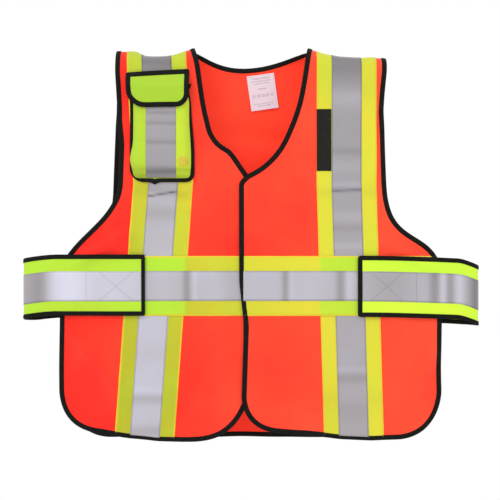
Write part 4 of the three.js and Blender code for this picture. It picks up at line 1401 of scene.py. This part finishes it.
    # The flap's tone of -0.22 is painted shade that darkens all its lime.
    cloth = sheetOf("flapCloth", u, v, layers["flap"], look["flapWall"], flapCarry, lime,
        tone=np.full(u.shape, -0.22), edge=np.full(u.shape, 0.01), green=np.full(u.shape, 0.86))
    place(cloth, "pocket_flap", "lime_tape", "pocket_flap_fabric")
    trim = bound("flapBinding", flap, layers["flap"] + look["flapWall"] / 2, look["flapWall"],
        garment["bindingWidth"], flapCarry, black)
    place(trim, "pocket_flap", "binding", "pocket_flap_binding")
    line = inset(flap, 0.0066)
    seam = stitches("flapStitches", [(np.vstack([line, line[:1]]), layers["flap"] + look["flapWall"]
        + 0.0011)], flapCarry, blackThread)
    place(seam, "pocket_flap", "binding")
    padOf("flapHook", look["flapCentre"] - 0.030, look["flapCentre"] + 0.030, -0.0905, -0.0785,
        layers["flapPatch"] - 0.0002, flapCarry, hooks, "pocket_flap", "pocket_flap_patch")
    padOf("pouchLoop", look["flapCentre"] - 0.030, look["flapCentre"] + 0.030, -0.0905, -0.0785,
        layers["pouchPatch"] + 0.0006, onRightFront, pile, "root", "pouch_patch", wall=0.0004)
    return cloth, body


flapCloth, pouchBody = makePocket()
print("pocket made")


# chest strip and care label

def makeChestStrip():
    # The loop strip on the left chest: a thick pile strip with rounded edges on its flat bed.
    lowCorner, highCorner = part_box("chest_strip")
    x, z = np.meshgrid(np.linspace(lowCorner.x, highCorner.x, 22), np.linspace(lowCorner.z,
        highCorner.z, 90))
    inX = np.minimum(x - lowCorner.x, highCorner.x - x)
    inZ = np.minimum(z - lowCorner.z, highCorner.z - z)
    edge = np.sqrt(np.clip(np.minimum(inX, inZ) / 0.0016, 0.05, 1))
    random = np.random.default_rng(7)
    tufts = random.normal(0, 0.00008, x.shape)
    wall = (highCorner.y - lowCorner.y) * edge + tufts
    carry = lambda u, v, off: np.stack([u, -off, v], -1)
    strip = sheetOf("chestLoopStrip", x, z, np.full(x.shape, -highCorner.y), wall, carry, pile)
    place(strip, "root", "hook_and_loop", "chest_strip")
    edgeIn = 0.0018
    x0, z0, x1, z1 = (lowCorner.x + edgeIn, lowCorner.z + edgeIn, highCorner.x - edgeIn,
        highCorner.z - edgeIn)
    corners = np.array([(x0, z0), (x1, z0), (x1, z1), (x0, z1), (x0, z0)])
    seam = stitches("chestStripStitches", [(corners, -lowCorner.y - 0.00005)], carry, blackThread)
    place(seam, "root", "hook_and_loop")


labelLook = dict(width=0.048, height=0.0615, centre=(0.0203, -0.0722), tilt=math.radians(8),
    wall=0.0005)


def labelCarry(a, b, off):
    # The label's own plane: turned by its tilt, on the inner face of the back, with a slight curl.
    look = labelLook
    a, b, off = np.broadcast_arrays(np.asarray(a, float), b, off)
    c, s = math.cos(look["tilt"]), math.sin(look["tilt"])
    below = (look["height"] / 2 - b) / look["height"]
    curl = 0.0022 * below ** 2 + 0.0007 * np.sin(a * 150) * below
    return onBack(look["centre"][0] + a * c - b * s, look["centre"][1] + a * s + b * c, off - curl)


def labelMarks(a, b):
    # Generic printing: a block of faint rules of uneven length above a row of small squares.
    rows = [(0.024, 0.030, 0.0011), (0.0195, 0.036, 0.0009), (0.0155, 0.026, 0.0009),
        (0.006, 0.012, 0.0013), (-0.020, 0.034, 0.0008), (-0.0235, 0.022, 0.0008)]
    total = np.zeros(np.shape(a))
    for height, length, thick in rows:
        broken = 0.55 + 0.45 * np.sign(np.sin(a * 2600 + height * 900) + 0.55)
        total += 0.75 * broken * (np.abs(a) < length / 2) * (np.abs(b - height) < thick)
    for k in range(5):
        centre = -0.016 + 0.008 * k
        ring = np.maximum(np.abs(a - centre), np.abs(b + 0.006))
        total += 0.8 * ((ring < 0.0025) & (ring > 0.0012))
    return total


def makeLabel():
    look = labelLook
    a, b = np.meshgrid(np.linspace(-look["width"] / 2, look["width"] / 2, 97),
        np.linspace(-look["height"] / 2, look["height"] / 2, 131))
    piece = sheetOf("careLabelSatin", a, b, layers["label"], look["wall"], labelCarry, satin,
        tone=labelMarks(a, b))
    place(piece, "care_label", "label", "care_label")
    top = look["height"] / 2 - 0.003
    reach = look["width"] / 2 - 0.002
    row = (np.array([(-reach, top), (reach, top)]), layers["label"] - 0.0001)
    seam = stitches("labelStitches", [row], labelCarry, whiteThread)
    place(seam, "care_label", "label")
    return piece


makeChestStrip()
careLabel = makeLabel()
print("label and strip made")


# cut sizes of the cloth


for side in ("right", "left"):
    cloth, trim = frontPieces[side]
